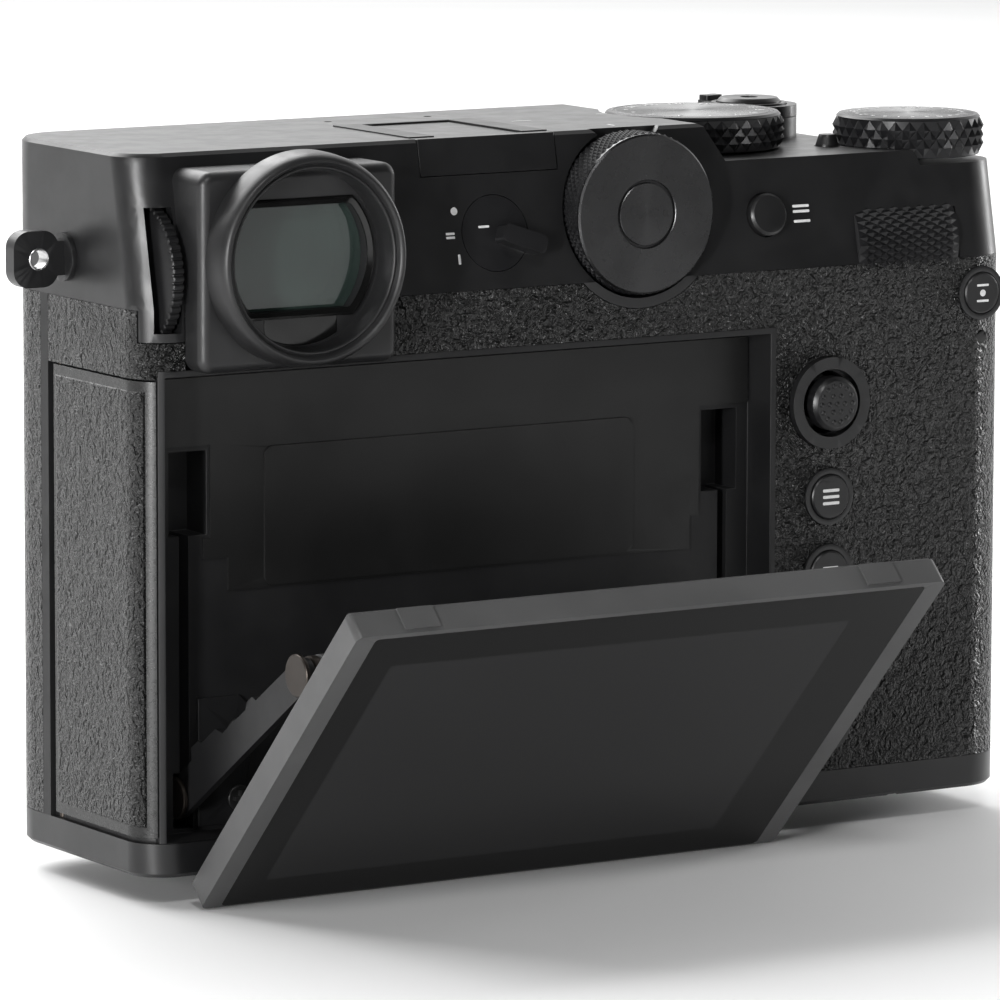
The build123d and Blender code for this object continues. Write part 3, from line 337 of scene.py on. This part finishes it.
bronze_steel = coated("bronze_steel", (0.05, 0.043, 0.038), (0.085, 0.072, 0.062), 0.40, 0.004,
                      4000, 0.9)
board_green = coated("circuit_board", (0.01, 0.08, 0.03), (0.02, 0.12, 0.05), 0.45)
leather = leather_grain("leather")
door_leather = leather_grain("door_leather", door_border)
eyecup_rubber = rubber("eyecup_rubber", (0.011, 0.011, 0.0115), 0.42)
button_rubber = rubber("button_rubber", (0.007, 0.007, 0.0075), 0.38)
white_mark = paint_white("white_mark", 0.72)
gloss_black = glossy("gloss_black", (0.003, 0.003, 0.003), 0.12)
screen_black = screen_face("screen_black")
eyepiece_glass = coated_glass("eyepiece_glass", (0.022, 0.034, 0.030), 0.03, 0.8)
lens_glass = coated_glass("lens_glass", (0.012, 0.010, 0.022), 0.02, 0.8)
ratio_face = brushed_round("ratio_face", (0.048, 0.048, 0.049), 0.26, REAR, middle("ratio_dial"))
shutter_face = brushed_round("shutter_face", (0.05, 0.05, 0.051), 0.28, UP,
                             middle("shutter_speed_dial"))
exposure_face = brushed_round("exposure_face", (0.05, 0.05, 0.051), 0.28, UP, middle("exposure_dial"))


# ---- finish of the CAD nodes --------------------------------------------------------------------
def edge_group():
    """Geometry group that joins coincident points and shades the result smooth."""
    group = bpy.data.node_groups.new("join_points", "GeometryNodeTree")
    group.interface.new_socket("Geometry", in_out="INPUT", socket_type="NodeSocketGeometry")
    group.interface.new_socket("Geometry", in_out="OUTPUT", socket_type="NodeSocketGeometry")
    first = group.nodes.new("NodeGroupInput")
    merge = group.nodes.new("GeometryNodeMergeByDistance")
    merge.inputs["Distance"].default_value = 2e-6
    smooth = group.nodes.new("GeometryNodeSetShadeSmooth")
    last = group.nodes.new("NodeGroupOutput")
    group.links.new(first.outputs[0], merge.inputs["Geometry"])
    group.links.new(merge.outputs[0], smooth.inputs["Geometry"])
    group.links.new(smooth.outputs[0], last.inputs[0])
    return group


JOIN_POINTS = edge_group()


def soften(obj, width, segments=2):
    """Rounds an object's sharp edges by a width in millimetres, without touching its mesh."""
    joined = obj.modifiers.new("join_points", "NODES")
    joined.node_group = JOIN_POINTS
    bevel = obj.modifiers.new("edges", "BEVEL")
    bevel.limit_method = "ANGLE"
    bevel.angle_limit = math.radians(36)
    bevel.width = width * MM
    bevel.segments = segments
    bevel.use_clamp_overlap = True
    normals = obj.modifiers.new("normals", "WEIGHTED_NORMAL")
    normals.weight = 100
    normals.keep_sharp = True


FINISH = {
    "top_cover": (black_metal, 0.18),
    "base_cover": (black_metal, 0.18),
    "main_frame": (casting, 0.08),
    "front_leather": (leather, 0.0),
    "rear_leather": (leather, 0.0),
    "port_door": (door_leather, 0.08),
    "screen_well": (casting, 0.1),
    "well_plate": (plate_plastic, 0.06),
    "hinge_brackets": (satin_plastic, 0.06),
    "cross_head_screws": (dark_steel, 0.06),
    "hinge_pins": (bronze_steel, 0.06),
    "screen_arms": (satin_plastic, 0.08),
    "tilt_plates": (bronze_steel, 0.06),
    "screen_frame": (screen_metal_painted_sheen, 0.14),
    "screen_glass": (screen_black, 0.05),
    "display_panel": (gloss_black, 0.0),
    "lens_barrel": (black_metal, 0.15),
    "front_collar": (black_metal, 0.2),
    "front_element": (lens_glass, 0.0),
    "focus_group": (lens_glass, 0.0),
    "leaf_shutter": (satin_plastic, 0.05),
    "image_sensor": (gloss_black, 0.0),
    "main_board": (board_green, 0.0),
    "battery": (satin_plastic, 0.0),
    "memory_card": (satin_plastic, 0.0),
    "battery_and_card_holder": (satin_plastic, 0.0),
    "connector_block": (satin_plastic, 0.08),
    "eyepiece_block": (eyecup_rubber, 0.12),
    "eyepiece_glass": (eyepiece_glass, 0.0),
    "eye_sensor": (gloss_black, 0.1),
    "finder_module": (satin_plastic, 0.0),
    "button_rings": (black_metal, 0.12),
    "lamp_windows": (gloss_black, 0.05),
    "hot_shoe": (dark_steel, 0.08),
    "shoe_cover": (black_metal, 0.12),
    "strap_lugs": (black_metal, 0.35),
    "tripod_socket": (bright_steel, 0.15),
    "battery_door": (black_metal, 0.12),
    "function_button": (black_metal, 0.15),
    "shutter_release": (black_metal, 0.15),
    "power_switch": (black_metal, 0.15),
    "focus_selector": (dial_metal, 0.1),
    "focus_lock_button": (black_metal, 0.1),
    "joystick_gimbal": (satin_plastic, 0.0),
    "joystick_cap": (button_rubber, 0.2),
    "menu_button": (button_rubber, 0.15),
    "display_button": (button_rubber, 0.15),
    "playback_button": (button_rubber, 0.15),
    "drive_button": (button_rubber, 0.15),
    "quick_menu_button": (button_rubber, 0.15),
    "crop_lever": (black_metal, 0.15),
}
for node_name, (finish, edge) in FINISH.items():
    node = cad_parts[node_name]
    node.data.materials.clear()
    node.data.materials.append(finish)
    if edge:
        soften(node, edge)


# ---- mesh builders ------------------------------------------------------------------------------
def axes_at(origin, normal, up=UP):
    """Placement with its third axis along normal and its second as near to up as it can be."""
    z = Vector(normal).normalized()
    x = Vector(up).cross(z).normalized()
    y = z.cross(x)
    placed = Matrix((x, y, z)).transposed().to_4x4()
    placed.translation = Vector(origin)
    return placed


def piece(name, placed, points, faces, finish, body, sharp=math.radians(32)):
    """One closed mesh from points in millimetres, riding on a body."""
    mesh = bpy.data.meshes.new(name)
    mesh.from_pydata([tuple((placed @ Vector(p)) * MM) for p in points], [], faces)
    mesh.validate()
    mesh.materials.append(finish)
    mesh.shade_smooth()
    mesh.set_sharp_from_angle(angle=sharp)
    obj = bpy.data.objects.new(name, mesh)
    bpy.context.scene.collection.objects.link(obj)
    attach(obj, body)
    return obj


def stack_rings(rings, split=None):
    """Points and faces of a solid made of closed rings, the first and last closed by a fan.

    split(row, column) picks the diagonal of one square, or leaves it whole when it gives None.
    """
    count = len(rings[0])
    points = [p for ring in rings for p in ring]
    faces = []
    for row in range(len(rings) - 1):
        for column in range(count):
            a = row * count + column
            b = row * count + (column + 1) % count
            c = b + count
            d = a + count
            side = split(row, column) if split else None
            if side is None:
                faces.append((a, b, c, d))
            elif side:
                faces += [(a, b, c), (a, c, d)]
            else:
                faces += [(a, b, d), (b, c, d)]
    for ring, start, flip in ((rings[0], 0, True), (rings[-1], (len(rings) - 1) * count, False)):
        centre = len(points)
        points.append(tuple(sum(p[i] for p in ring) / count for i in range(3)))
        for column in range(count):
            a = start + column
            b = start + (column + 1) % count
            faces.append((b, a, centre) if flip else (a, b, centre))
    return points, faces


def circle(radius, height, count):
    """Points of a level ring."""
    turn = 2 * math.pi / count
    return [(radius * math.cos(i * turn), radius * math.sin(i * turn), height) for i in range(count)]


def lathe(name, placed, profile, finish, body, count=96):
    """Turned solid from (radius, height) pairs, closed at both ends."""
    points, faces = stack_rings([circle(r, h, count) for r, h in profile])
    return piece(name, placed, points, faces, finish, body)


def loop_of_rings(name, placed, rings, finish, body, sharp=math.radians(32)):
    """Solid ring made of closed rings, the last joined back to the first."""
    count = len(rings[0])
    points = [p for ring in rings for p in ring]
    faces = []
    for row in range(len(rings)):
        below = ((row + 1) % len(rings)) * count
        for column in range(count):
            after = (column + 1) % count
            faces.append((row * count + column, row * count + after, below + after, below + column))
    return piece(name, placed, points, faces, finish, body, sharp)


def ring_solid(name, placed, profile, finish, body, count=96):
    """Turned ring from a closed loop of (radius, height) pairs."""
    rings = [circle(r, h, count) for r, h in profile]
    return loop_of_rings(name, placed, rings, finish, body)


def knurled(name, placed, radius, low, high, depth, teeth, rows, below, above, finish, body):
    """Turned knob whose rim carries a band of pyramids, with plain profiles below and above it."""
    count = 2 * teeth
    rings = [circle(r, h, count) for r, h in below]
    first = len(rings)
    for row in range(rows + 1):
        ring = []
        for column in range(count):
            peak = (row + column) % 2 and 0 < row < rows
            r = radius if peak else radius - depth
            angle = math.pi * column / teeth
            height = low + (high - low) * row / rows
            ring.append((r * math.cos(angle), r * math.sin(angle), height))
        rings.append(ring)
    rings += [circle(r, h, count) for r, h in above]

    def diagonal(row, column):
        if first <= row < first + rows:
            return (row - first + column) % 2 == 0
        return None

    points, faces = stack_rings(rings, diagonal)
    return piece(name, placed, points, faces, finish, body, math.radians(24))


RIB_STEPS = 6
RIB_DIPS = (0.0, 0.0, 0.12, 1.0, 1.0, 0.12)


def rib_rings(radius, depth, teeth, low, high, below, above):
    """Rings of a rim with straight, bevelled ribs, with plain profiles below and above it."""
    count = RIB_STEPS * teeth
    bevel = depth * 0.6
    rings = [circle(r, h, count) for r, h in below]
    for height, inset in ((low, bevel), (low + bevel, 0), (high - bevel, 0), (high, bevel)):
        ring = []
        for column in range(count):
            r = radius - inset - depth * RIB_DIPS[column % RIB_STEPS]
            angle = 2 * math.pi * column / count
            ring.append((r * math.cos(angle), r * math.sin(angle), height))
        rings.append(ring)
    return rings + [circle(r, h, count) for r, h in above]


def ribbed(name, placed, rings, finish, body):
    """Turned knob from ribbed rings, closed at both ends."""
    points, faces = stack_rings(rings)
    return piece(name, placed, points, faces, finish, body, math.radians(28))


def ribbed_ring(name, placed, rings, finish, body):
    """Turned ring from ribbed rings, the last joined back to the first."""
    return loop_of_rings(name, placed, rings, finish, body, math.radians(28))


def rounded(width, height, radius, x=0.0, y=0.0, steps=5):
    """Outline of a rectangle with rounded corners."""
    outline = []
    for side_x, side_y, start in ((1, 1, 0), (-1, 1, 90), (-1, -1, 180), (1, -1, 270)):
        for i in range(steps + 1):
            angle = math.radians(start + 90 * i / steps)
            outline.append((
                x + side_x * (width / 2 - radius) + radius * math.cos(angle),
                y + side_y * (height / 2 - radius) + radius * math.sin(angle),
            ))
    return outline


def disc(radius, x=0.0, y=0.0, count=24):
    """Outline of a circle."""
    return [(x + px, y + py) for px, py, _ in circle(radius, 0, count)]


MARK = 0.03  # thickness of a painted mark


def marks(name, placed, outlines, body, finish=None):
    """Several painted marks as one piece."""
    points = []
    faces = []
    for outline in outlines:
        start = len(points)
        count = len(outline)
        points += [(x, y, 0) for x, y in outline]
        points += [(x, y, MARK) for x, y in outline]
        faces.append(tuple(start + i for i in range(count - 1, -1, -1)))
        faces.append(tuple(start + count + i for i in range(count)))
        for i in range(count):
            after = (i + 1) % count
            faces.append((start + i, start + after, start + after + count, start + i + count))
    return piece(name, placed, points, faces, finish or white_mark, body)


def numerals(name, placed, entries, size, body):
    """Dial numbers as one thin mesh; entries are (text, x, y, turn in degrees)."""
    points = []
    faces = []
    for index, (text, x, y, turn) in enumerate(entries):
        curve = bpy.data.curves.new(f"{name}_{index}", "FONT")
        curve.body = text
        curve.size = size
        curve.align_x = "CENTER"
        curve.align_y = "CENTER"
        curve.extrude = MARK / 2
        curve.resolution_u = 2
        holder = bpy.data.objects.new(f"{name}_{index}", curve)
        mesh = bpy.data.meshes.new_from_object(holder)
        start = len(points)
        spin = Matrix.Rotation(math.radians(turn), 4, "Z")
        for vertex in mesh.vertices:
            at = spin @ vertex.co
            points.append((at.x + x, at.y + y, at.z + MARK / 2))
        faces += [tuple(start + i for i in face.vertices) for face in mesh.polygons]
        bpy.data.objects.remove(holder)
        bpy.data.curves.remove(curve)
        bpy.data.meshes.remove(mesh)
    return piece(name, placed, points, faces, white_mark, body)


# ---- dials --------------------------------------------------------------------------------------
def on_turn(radius, degrees):
    """Point of a circle at an angle."""
    angle = math.radians(degrees)
    return radius * math.cos(angle), radius * math.sin(angle)


def dial_marks(name, placed, radius, labels, size, body, start=0.0):
    """Numbers and ticks round the top of a dial."""
    step = 360 / len(labels)
    entries = []
    ticks = []
    for index, text in enumerate(labels):
        degrees = start + index * step
        if text == ".":
            ticks.append(disc(0.28, *on_turn(radius, degrees), count=10))
        else:
            entries.append((text, *on_turn(radius, degrees), degrees - 90))
    numerals(f"{name}_numbers", placed, entries, size, body)
    if ticks:
        marks(f"{name}_dots", placed, ticks, body)


low, high = box_mm("shutter_speed_dial")
centre = middle("shutter_speed_dial")
radius = (high.x - low.x) / 2
placed = axes_at((centre.x, centre.y, 0), UP, REAR)
dial = knurled(
    "shutter_dial_knob", placed, radius, DECK_GAP + 0.2, high.z - 0.55, 0.62, 38, 4,
    [(SPINDLE, low.z), (SPINDLE, DECK_GAP), (radius - 0.8, DECK_GAP), (radius - 0.62, DECK_GAP + 0.1)],
    [(radius - 0.55, high.z - 0.45), (radius - 0.85, high.z - 0.12), (radius - 1.0, high.z - 0.08)],
    dial_metal, "shutter_speed_dial",
)
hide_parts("shutter_speed_dial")
top_z = high.z - DIAL_TOP_INSET
lathe(
    "shutter_dial_top", placed,
    [(radius - 1.3, high.z - 0.3), (radius - 1.3, high.z - 0.12), (radius - 1.5, top_z),
     (radius - 1.7, top_z), (radius - 1.78, high.z - 0.1), (radius - 1.9, high.z - 0.1),
     (radius - 2.0, top_z), (0.4, top_z)],
    shutter_face, "shutter_speed_dial", 128,
)
top = Matrix.Translation((0, 0, top_z)) @ placed
dial_marks("shutter_dial", top, radius - 3.4,
           ["4", "2", "1", "2", "4", "8", "15", "30", "60", "125", "250", "500", ".", "."],
           1.75, "shutter_speed_dial", 20)

low, high = box_mm("exposure_dial")
centre = middle("exposure_dial")
radius = (high.x - low.x) / 2
placed = axes_at((centre.x, centre.y, 0), UP, REAR)
dial = knurled(
    "exposure_dial_knob", placed, radius, LEDGE_GAP + 0.2, high.z - 0.5, 0.6, 32, 4,
    [(SPINDLE, low.z), (SPINDLE, LEDGE_GAP), (radius - 0.7, LEDGE_GAP), (radius - 0.6, LEDGE_GAP + 0.1)],
    [(radius - 0.5, high.z - 0.42), (radius - 0.8, high.z - 0.12), (radius - 1.0, high.z - 0.08)],
    dial_metal, "exposure_dial",
)
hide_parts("exposure_dial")
top_z = high.z - DIAL_TOP_INSET
lathe(
    "exposure_dial_top", placed,
    [(radius - 1.2, high.z - 0.3), (radius - 1.2, high.z - 0.1), (radius - 1.4, top_z), (0.4, top_z)],
    exposure_face, "exposure_dial", 128,
)
top = Matrix.Translation((0, 0, top_z)) @ placed
dial_marks("exposure_dial", top, radius - 2.9,
           ["0", ".", ".", "1", ".", ".", "2", ".", ".", "3", ".", ".", ".", ".", ".", "3", ".", ".",
            "2", ".", ".", "1", ".", "."],
           1.7, "exposure_dial", 90)

low, high = box_mm("ratio_dial")
centre = middle("ratio_dial")
radius = (high.x - low.x) / 2
face_y = high.y
placed = axes_at((centre.x, 0, centre.z), REAR, UP)
back_y = 14.5
dial = knurled(
    "ratio_dial_knob", placed, radius, back_y + 0.1, face_y - 0.45, 0.3, 60, 10,
    [(SPINDLE, low.y), (SPINDLE, back_y), (radius - 0.3, back_y)],
    [(radius - 0.3, face_y - 0.4), (radius - 0.34, face_y - 0.3)],
    dial_metal, "ratio_dial",
)
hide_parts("ratio_dial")
outer = [(4.25, face_y - 0.45), (radius - 0.25, face_y - 0.45), (radius - 0.25, face_y - 0.22),
         (radius - 0.5, face_y), (4.5, face_y), (4.42, face_y - 0.08), (4.42, face_y - 0.4)]
ring_solid("ratio_dial_face", placed, outer, ratio_face, "ratio_dial", 160)
lathe("ratio_dial_centre", placed,
      [(4.1, face_y - 0.45), (4.1, face_y - 0.08), (4.0, face_y), (1.5, face_y)],
      ratio_face, "ratio_dial", 96)
# Painted shade: two thin black discs on the dial's face stand for the dark inside of its two small
# holes.
marks("ratio_dial_hole_shade", Matrix.Translation((0, face_y - 0.01, 0)) @ placed,
      [disc(0.42, side * 2.9, 0) for side in (-1, 1)], "ratio_dial", gloss_black)

# ---- command dials, dioptre wheel and lens rings --------------------------------------------------
for node_name, teeth in (("rear_command_dial", 50), ("front_command_dial", 46)):
    low, high = box_mm(node_name)
    radius = (high.y - low.y) / 2
    half = (high.x - low.x) / 2
    wheel = knurled(
        f"{node_name}_knurl", axes_at(middle(node_name), LEFT, UP), radius, -half + 1.0, half - 1.0,
        0.42, teeth, 15,
        [(AXLE, -half), (radius - 1.6, -half), (radius - 1.5, 0.9 - half), (radius - 0.6, 0.95 - half)],
        [(radius - 0.6, half - 0.95), (radius - 1.5, half - 0.9), (radius - 1.6, half), (AXLE, half)],
        dial_metal, node_name,
    )
    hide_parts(node_name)

low, high = box_mm("dioptre_wheel")
radius = (high.z - low.z) / 2
half = (high.x - low.x) / 2
rings = rib_rings(
    radius, 0.28, 56, -half, half * 0.75,
    [(AXLE, -half), (radius - 0.5, -half)],
    [(radius - 0.45, half * 0.8), (radius - 0.9, half), (AXLE, half)],
)
wheel = ribbed("dioptre_wheel_ribs", axes_at(middle("dioptre_wheel"), LEFT, UP), rings,
               satin_plastic, "dioptre_wheel")
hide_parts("dioptre_wheel")

for node_name, teeth, depth in (("aperture_ring", 72, 0.5), ("focus_ring", 120, 0.45)):
    low, high = box_mm(node_name)
    radius = (high.x - low.x) / 2
    length = high.y - low.y
    centre = middle(node_name)
    placed = axes_at((centre.x, high.y, centre.z), -REAR, UP)
    grip = (length * 0.5, length - 0.9) if node_name == "aperture_ring" else (1.4, length - 1.4)
    rings = rib_rings(
        radius, depth, teeth, *grip,
        [(radius - 0.5, 0), (radius - 0.1, 0.4), (radius - 0.1, grip[0] - 0.6)],
        [(radius - 0.1, grip[1] + 0.3), (radius - 0.5, length), (RING_HOLE, length), (RING_HOLE, 0)],
    )
    ring = ribbed_ring(f"{node_name}_grip", placed, rings, dial_metal, node_name)
    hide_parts(node_name)
    if node_name == "aperture_ring":
        spot = Matrix.Translation((centre.x, high.y - length * 0.26, centre.z))
        for index, stop in enumerate(("16", "11", "8", "5.6", "4", "2.8", "2")):
            upright = Matrix.Rotation(math.radians(STOP_STEP * (index - 3)), 4, "Y")
            seat = spot @ upright @ axes_at((0, 0, radius - 0.11), UP, REAR)
            numerals(f"aperture_mark_{index}", seat, [(stop, 0, 0, 0)], 1.8, node_name)

# ---- eyepiece -----------------------------------------------------------------------------------
low, high = box_mm("eyecup_ring")
centre = middle("eyecup_ring")
radius = (high.x - low.x) / 2
hole = radius - 2.35
rise = high.y - low.y
lip = [
    (radius, 0), (radius - 0.04, 0.28 * rise), (radius - 0.2, 0.7 * rise), (radius - 0.4, 0.86 * rise),
    (radius - 0.65, 0.955 * rise), (radius - 0.9, 0.995 * rise), (radius - 1.15, rise),
    (radius - 1.35, 0.975 * rise), (radius - 1.5, 0.93 * rise), (radius - 1.6, 0.86 * rise),
    (radius - 1.7, 0.82 * rise), (radius - 1.8, 0.83 * rise), (radius - 1.93, 0.86 * rise),
    (radius - 2.07, 0.86 * rise), (radius - 2.19, 0.83 * rise), (radius - 2.26, 0.77 * rise),
    (radius - 2.28, 0.65 * rise), (hole, 0.55 * rise), (hole, 0),
]
cup = ring_solid("eyecup_lip", axes_at((centre.x, low.y, centre.z), REAR, UP), lip, eyecup_rubber,
                 "camera", 160)
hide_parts("eyecup_ring")


def clipped_circle(radius, half_height, y, count=96):
    """Points of a level circle with flat top and bottom, as the eyepiece window has."""
    ring = []
    for px, py, _ in circle(radius, 0, count):
        ring.append((px, max(-half_height, min(half_height, py)), y))
    return ring


face = box_mm("eyepiece_block")[1].y
bezel = [
    clipped_circle(10.75, 7.6, -0.05), clipped_circle(10.6, 7.45, 0.32), clipped_circle(10.35, 7.2, 0.4),
    clipped_circle(9.75, 6.6, 0.12), clipped_circle(9.7, 6.55, -0.05),
]
loop_of_rings("eyepiece_bezel", axes_at((centre.x, face, centre.z), REAR, UP), bezel, gloss_black,
              "camera")

# ---- steel bushings in the strap lugs -----------------------------------------------------------
lug_low, lug_high = box_mm("strap_lugs")
for side, edge_x in (("left", lug_high.x), ("right", lug_low.x)):
    inward = -1 if side == "left" else 1
    bushing = [(LUG_HOLE, -1.1), (LUG_HOLE, 1.1), (LUG_HOLE - 0.1, 1.18), (LUG_HOLE - 0.26, 1.1),
               (LUG_HOLE - 0.3, 0.9), (LUG_HOLE - 0.3, -0.9), (LUG_HOLE - 0.26, -1.1),
               (LUG_HOLE - 0.1, -1.18)]
    spot = (edge_x + inward * LUG_HOLE_IN, (lug_low.y + lug_high.y) / 2, (lug_low.z + lug_high.z) / 2)
    ring_solid(f"lug_bushing_{side}", axes_at(spot, REAR, UP), bushing, bright_steel, "camera",
               48)

# ---- painted marks on the body ------------------------------------------------------------------
rear_face = box_mm("base_cover")[1].y
cover_low = box_mm("main_frame")[1].z
deck_top = box_mm("top_cover")[1].z


def on_wall(x, z):
    """Placement on the leaning rear wall of the top cover."""
    return axes_at((x, rear_face - (z - cover_low) * math.tan(LEAN), z), WALL, UP)


def bar(x, y, width, height):
    """Outline of a small upright or level bar."""
    return rounded(width, height, min(width, height) * 0.3, x, y, 2)


SELECTOR_LABELS = (6.3, 78.9)
LOCK_LABELS = (-47.25, 78.9)
deck = axes_at((0, 0, deck_top), UP, REAR)
marks("deck_marks", deck, [
    bar(-14.7, -0.1, 3.0, 0.32), bar(-29.2, -3.3, 1.6, 0.32), bar(-21.8, 10.6, 0.32, 1.8),
], "camera")
marks("selector_marks", on_wall(*SELECTOR_LABELS), [
    disc(0.5, 0.4, 3.1), bar(-0.5, 0.25, 1.3, 0.3), bar(-0.5, -0.25, 1.3, 0.3),
    bar(0.5, -3.1, 0.35, 1.3), bar(4.6, 0.9, 1.6, 0.3),
], "camera")
marks("lock_marks", on_wall(*LOCK_LABELS), [
    bar(0, 1.0, 2.6, 0.35), bar(0, 0.3, 2.6, 0.35), bar(0, -1.0, 2.6, 0.35),
], "camera")


def button_face(node):
    """Placement on the outer face of a button on the back."""
    centre = middle(node)
    return axes_at((centre.x, box_mm(node)[1].y, centre.z), REAR, UP)


ICONS = {
    "menu_button": [bar(0, 0.85, 2.6, 0.4), bar(0, 0, 2.6, 0.4), bar(0, -0.85, 2.6, 0.4)],
    "display_button": [bar(0, 0.7, 2.4, 0.3), bar(0, -0.7, 2.4, 0.3), bar(1.05, 0, 0.3, 1.1),
                       bar(-1.05, 0, 0.3, 1.1)],
    "playback_button": [[(-0.8, -1.0), (1.0, 0), (-0.8, 1.0)]],
    "drive_button": [bar(0.3, 0.5, 1.9, 1.0), bar(-0.4, -0.75, 1.9, 0.3)],
    "quick_menu_button": [disc(0.45), bar(0, 1.05, 1.9, 0.3), bar(0, -1.05, 1.9, 0.3)],
}
for node_name, outlines in ICONS.items():
    marks(f"{node_name}_icon", button_face(node_name), outlines, node_name)

bumps = [on_turn(2.45, i * 360 / 14) for i in range(14)] + [on_turn(1.2, i * 60) for i in range(6)]
for index, (x, y) in enumerate(bumps + [(0, 0)]):
    lathe(f"joystick_bump_{index}", Matrix.Translation((0, -0.06, 0)) @ button_face("joystick_cap")
          @ Matrix.Translation((x, y, 0)),
          [(0.36, 0), (0.33, 0.14), (0.22, 0.24), (0.08, 0.29)], button_rubber, "joystick_cap",
          12)

# ---- camera, light and floor --------------------------------------------------------------------
FOCAL_PX = 7299.84
camera_data = bpy.data.cameras.new("camera")
camera_data.sensor_width = 36.0
camera_data.lens = 36.0 * FOCAL_PX / 1000
camera_data.clip_end = 20
camera = bpy.data.objects.new("camera", camera_data)
bpy.context.scene.collection.objects.link(camera)
TARGET = Vector((-9.198, 3.75, 41.996))
DISTANCE = 955.857
back = Vector((0.5226, 0.8404, 0.1433)).normalized()
right = Vector((-back.y, back.x, 0)).normalized()
above = back.cross(right)
roll = math.radians(0.139)
side_axis = right * math.cos(roll) + above * math.sin(roll)
up_axis = above * math.cos(roll) - right * math.sin(roll)
pose = Matrix((side_axis, up_axis, back)).transposed().to_4x4()
pose.translation = (TARGET + back * DISTANCE) * MM
camera.matrix_world = pose
bpy.context.scene.camera = camera


def softbox(name, place, aim, width, height, power):
    """Rectangular area light."""
    data = bpy.data.lights.new(name, "AREA")
    data.shape = "RECTANGLE"
    data.size = width
    data.size_y = height
    data.energy = power
    light = bpy.data.objects.new(name, data)
    bpy.context.scene.collection.objects.link(light)
    direction = Vector(aim) - Vector(place)
    light.location = place
    light.rotation_euler = direction.to_track_quat("-Z", "Y").to_euler()


softbox("overhead", (0.15, -0.9, 1.0), (0, -0.1, 0), 1.6, 0.9, 26)
softbox("corner_strip", (1.10, 0.68, 0.12), (0.05, 0, 0.05), 0.10, 0.5, 18)
softbox("far_side", (-1.2, -0.1, 0.2), (0, 0, 0.04), 0.12, 0.5, 4)
softbox("glints", (0.45, 0.95, 1.1), (0, 0, 0.04), 0.22, 0.22, 5)


def studio_world():
    """White backdrop behind the camera's subject, fading to a dimmer studio on the other side."""
    made = bpy.data.worlds.new("studio")
    made.use_nodes = True
    tree = made.node_tree
    sky = tree.nodes["Background"]
    coordinate = tree.nodes.new("ShaderNodeTexCoord")
    facing = tree.nodes.new("ShaderNodeVectorMath")
    facing.operation = "DOT_PRODUCT"
    facing.inputs[1].default_value = (-back.x, -back.y, 0)
    tree.links.new(coordinate.outputs["Generated"], facing.inputs[0])
    level = tree.nodes.new("ShaderNodeMapRange")
    level.interpolation_type = "SMOOTHSTEP"
    for socket, number in zip(level.inputs[1:5], (0.05, 0.75, 0.035, 1.3)):
        socket.default_value = number
    tree.links.new(facing.outputs["Value"], level.inputs[0])
    tree.links.new(level.outputs[0], sky.inputs["Strength"])
    sky.inputs["Color"].default_value = (1, 1, 1, 1)
    return made


bpy.context.scene.world = studio_world()
bpy.context.scene.view_settings.view_transform = "Standard"

floor_material = Graph("pale_floor")
floor_material.link(
    floor_material.mix_colour(floor_material.ramp(floor_material.noise(6, 3), 0.3, 0.7),
                              (0.90, 0.90, 0.90), (0.93, 0.93, 0.93)),
    floor_material.shader.inputs["Base Color"],
)
floor_material.base(Roughness=0.7)
floor_z = cad_bounds[0].z / MM - 0.2
FLOOR_RADIUS = 60000
mesh = bpy.data.meshes.new("floor")
rim = [tuple(c * MM for c in corner) for corner in circle(FLOOR_RADIUS, floor_z, 64)]
mesh.from_pydata(rim, [], [tuple(range(64))])
mesh.materials.append(floor_material.material)
floor = bpy.data.objects.new("floor", mesh)
bpy.context.scene.collection.objects.link(floor)
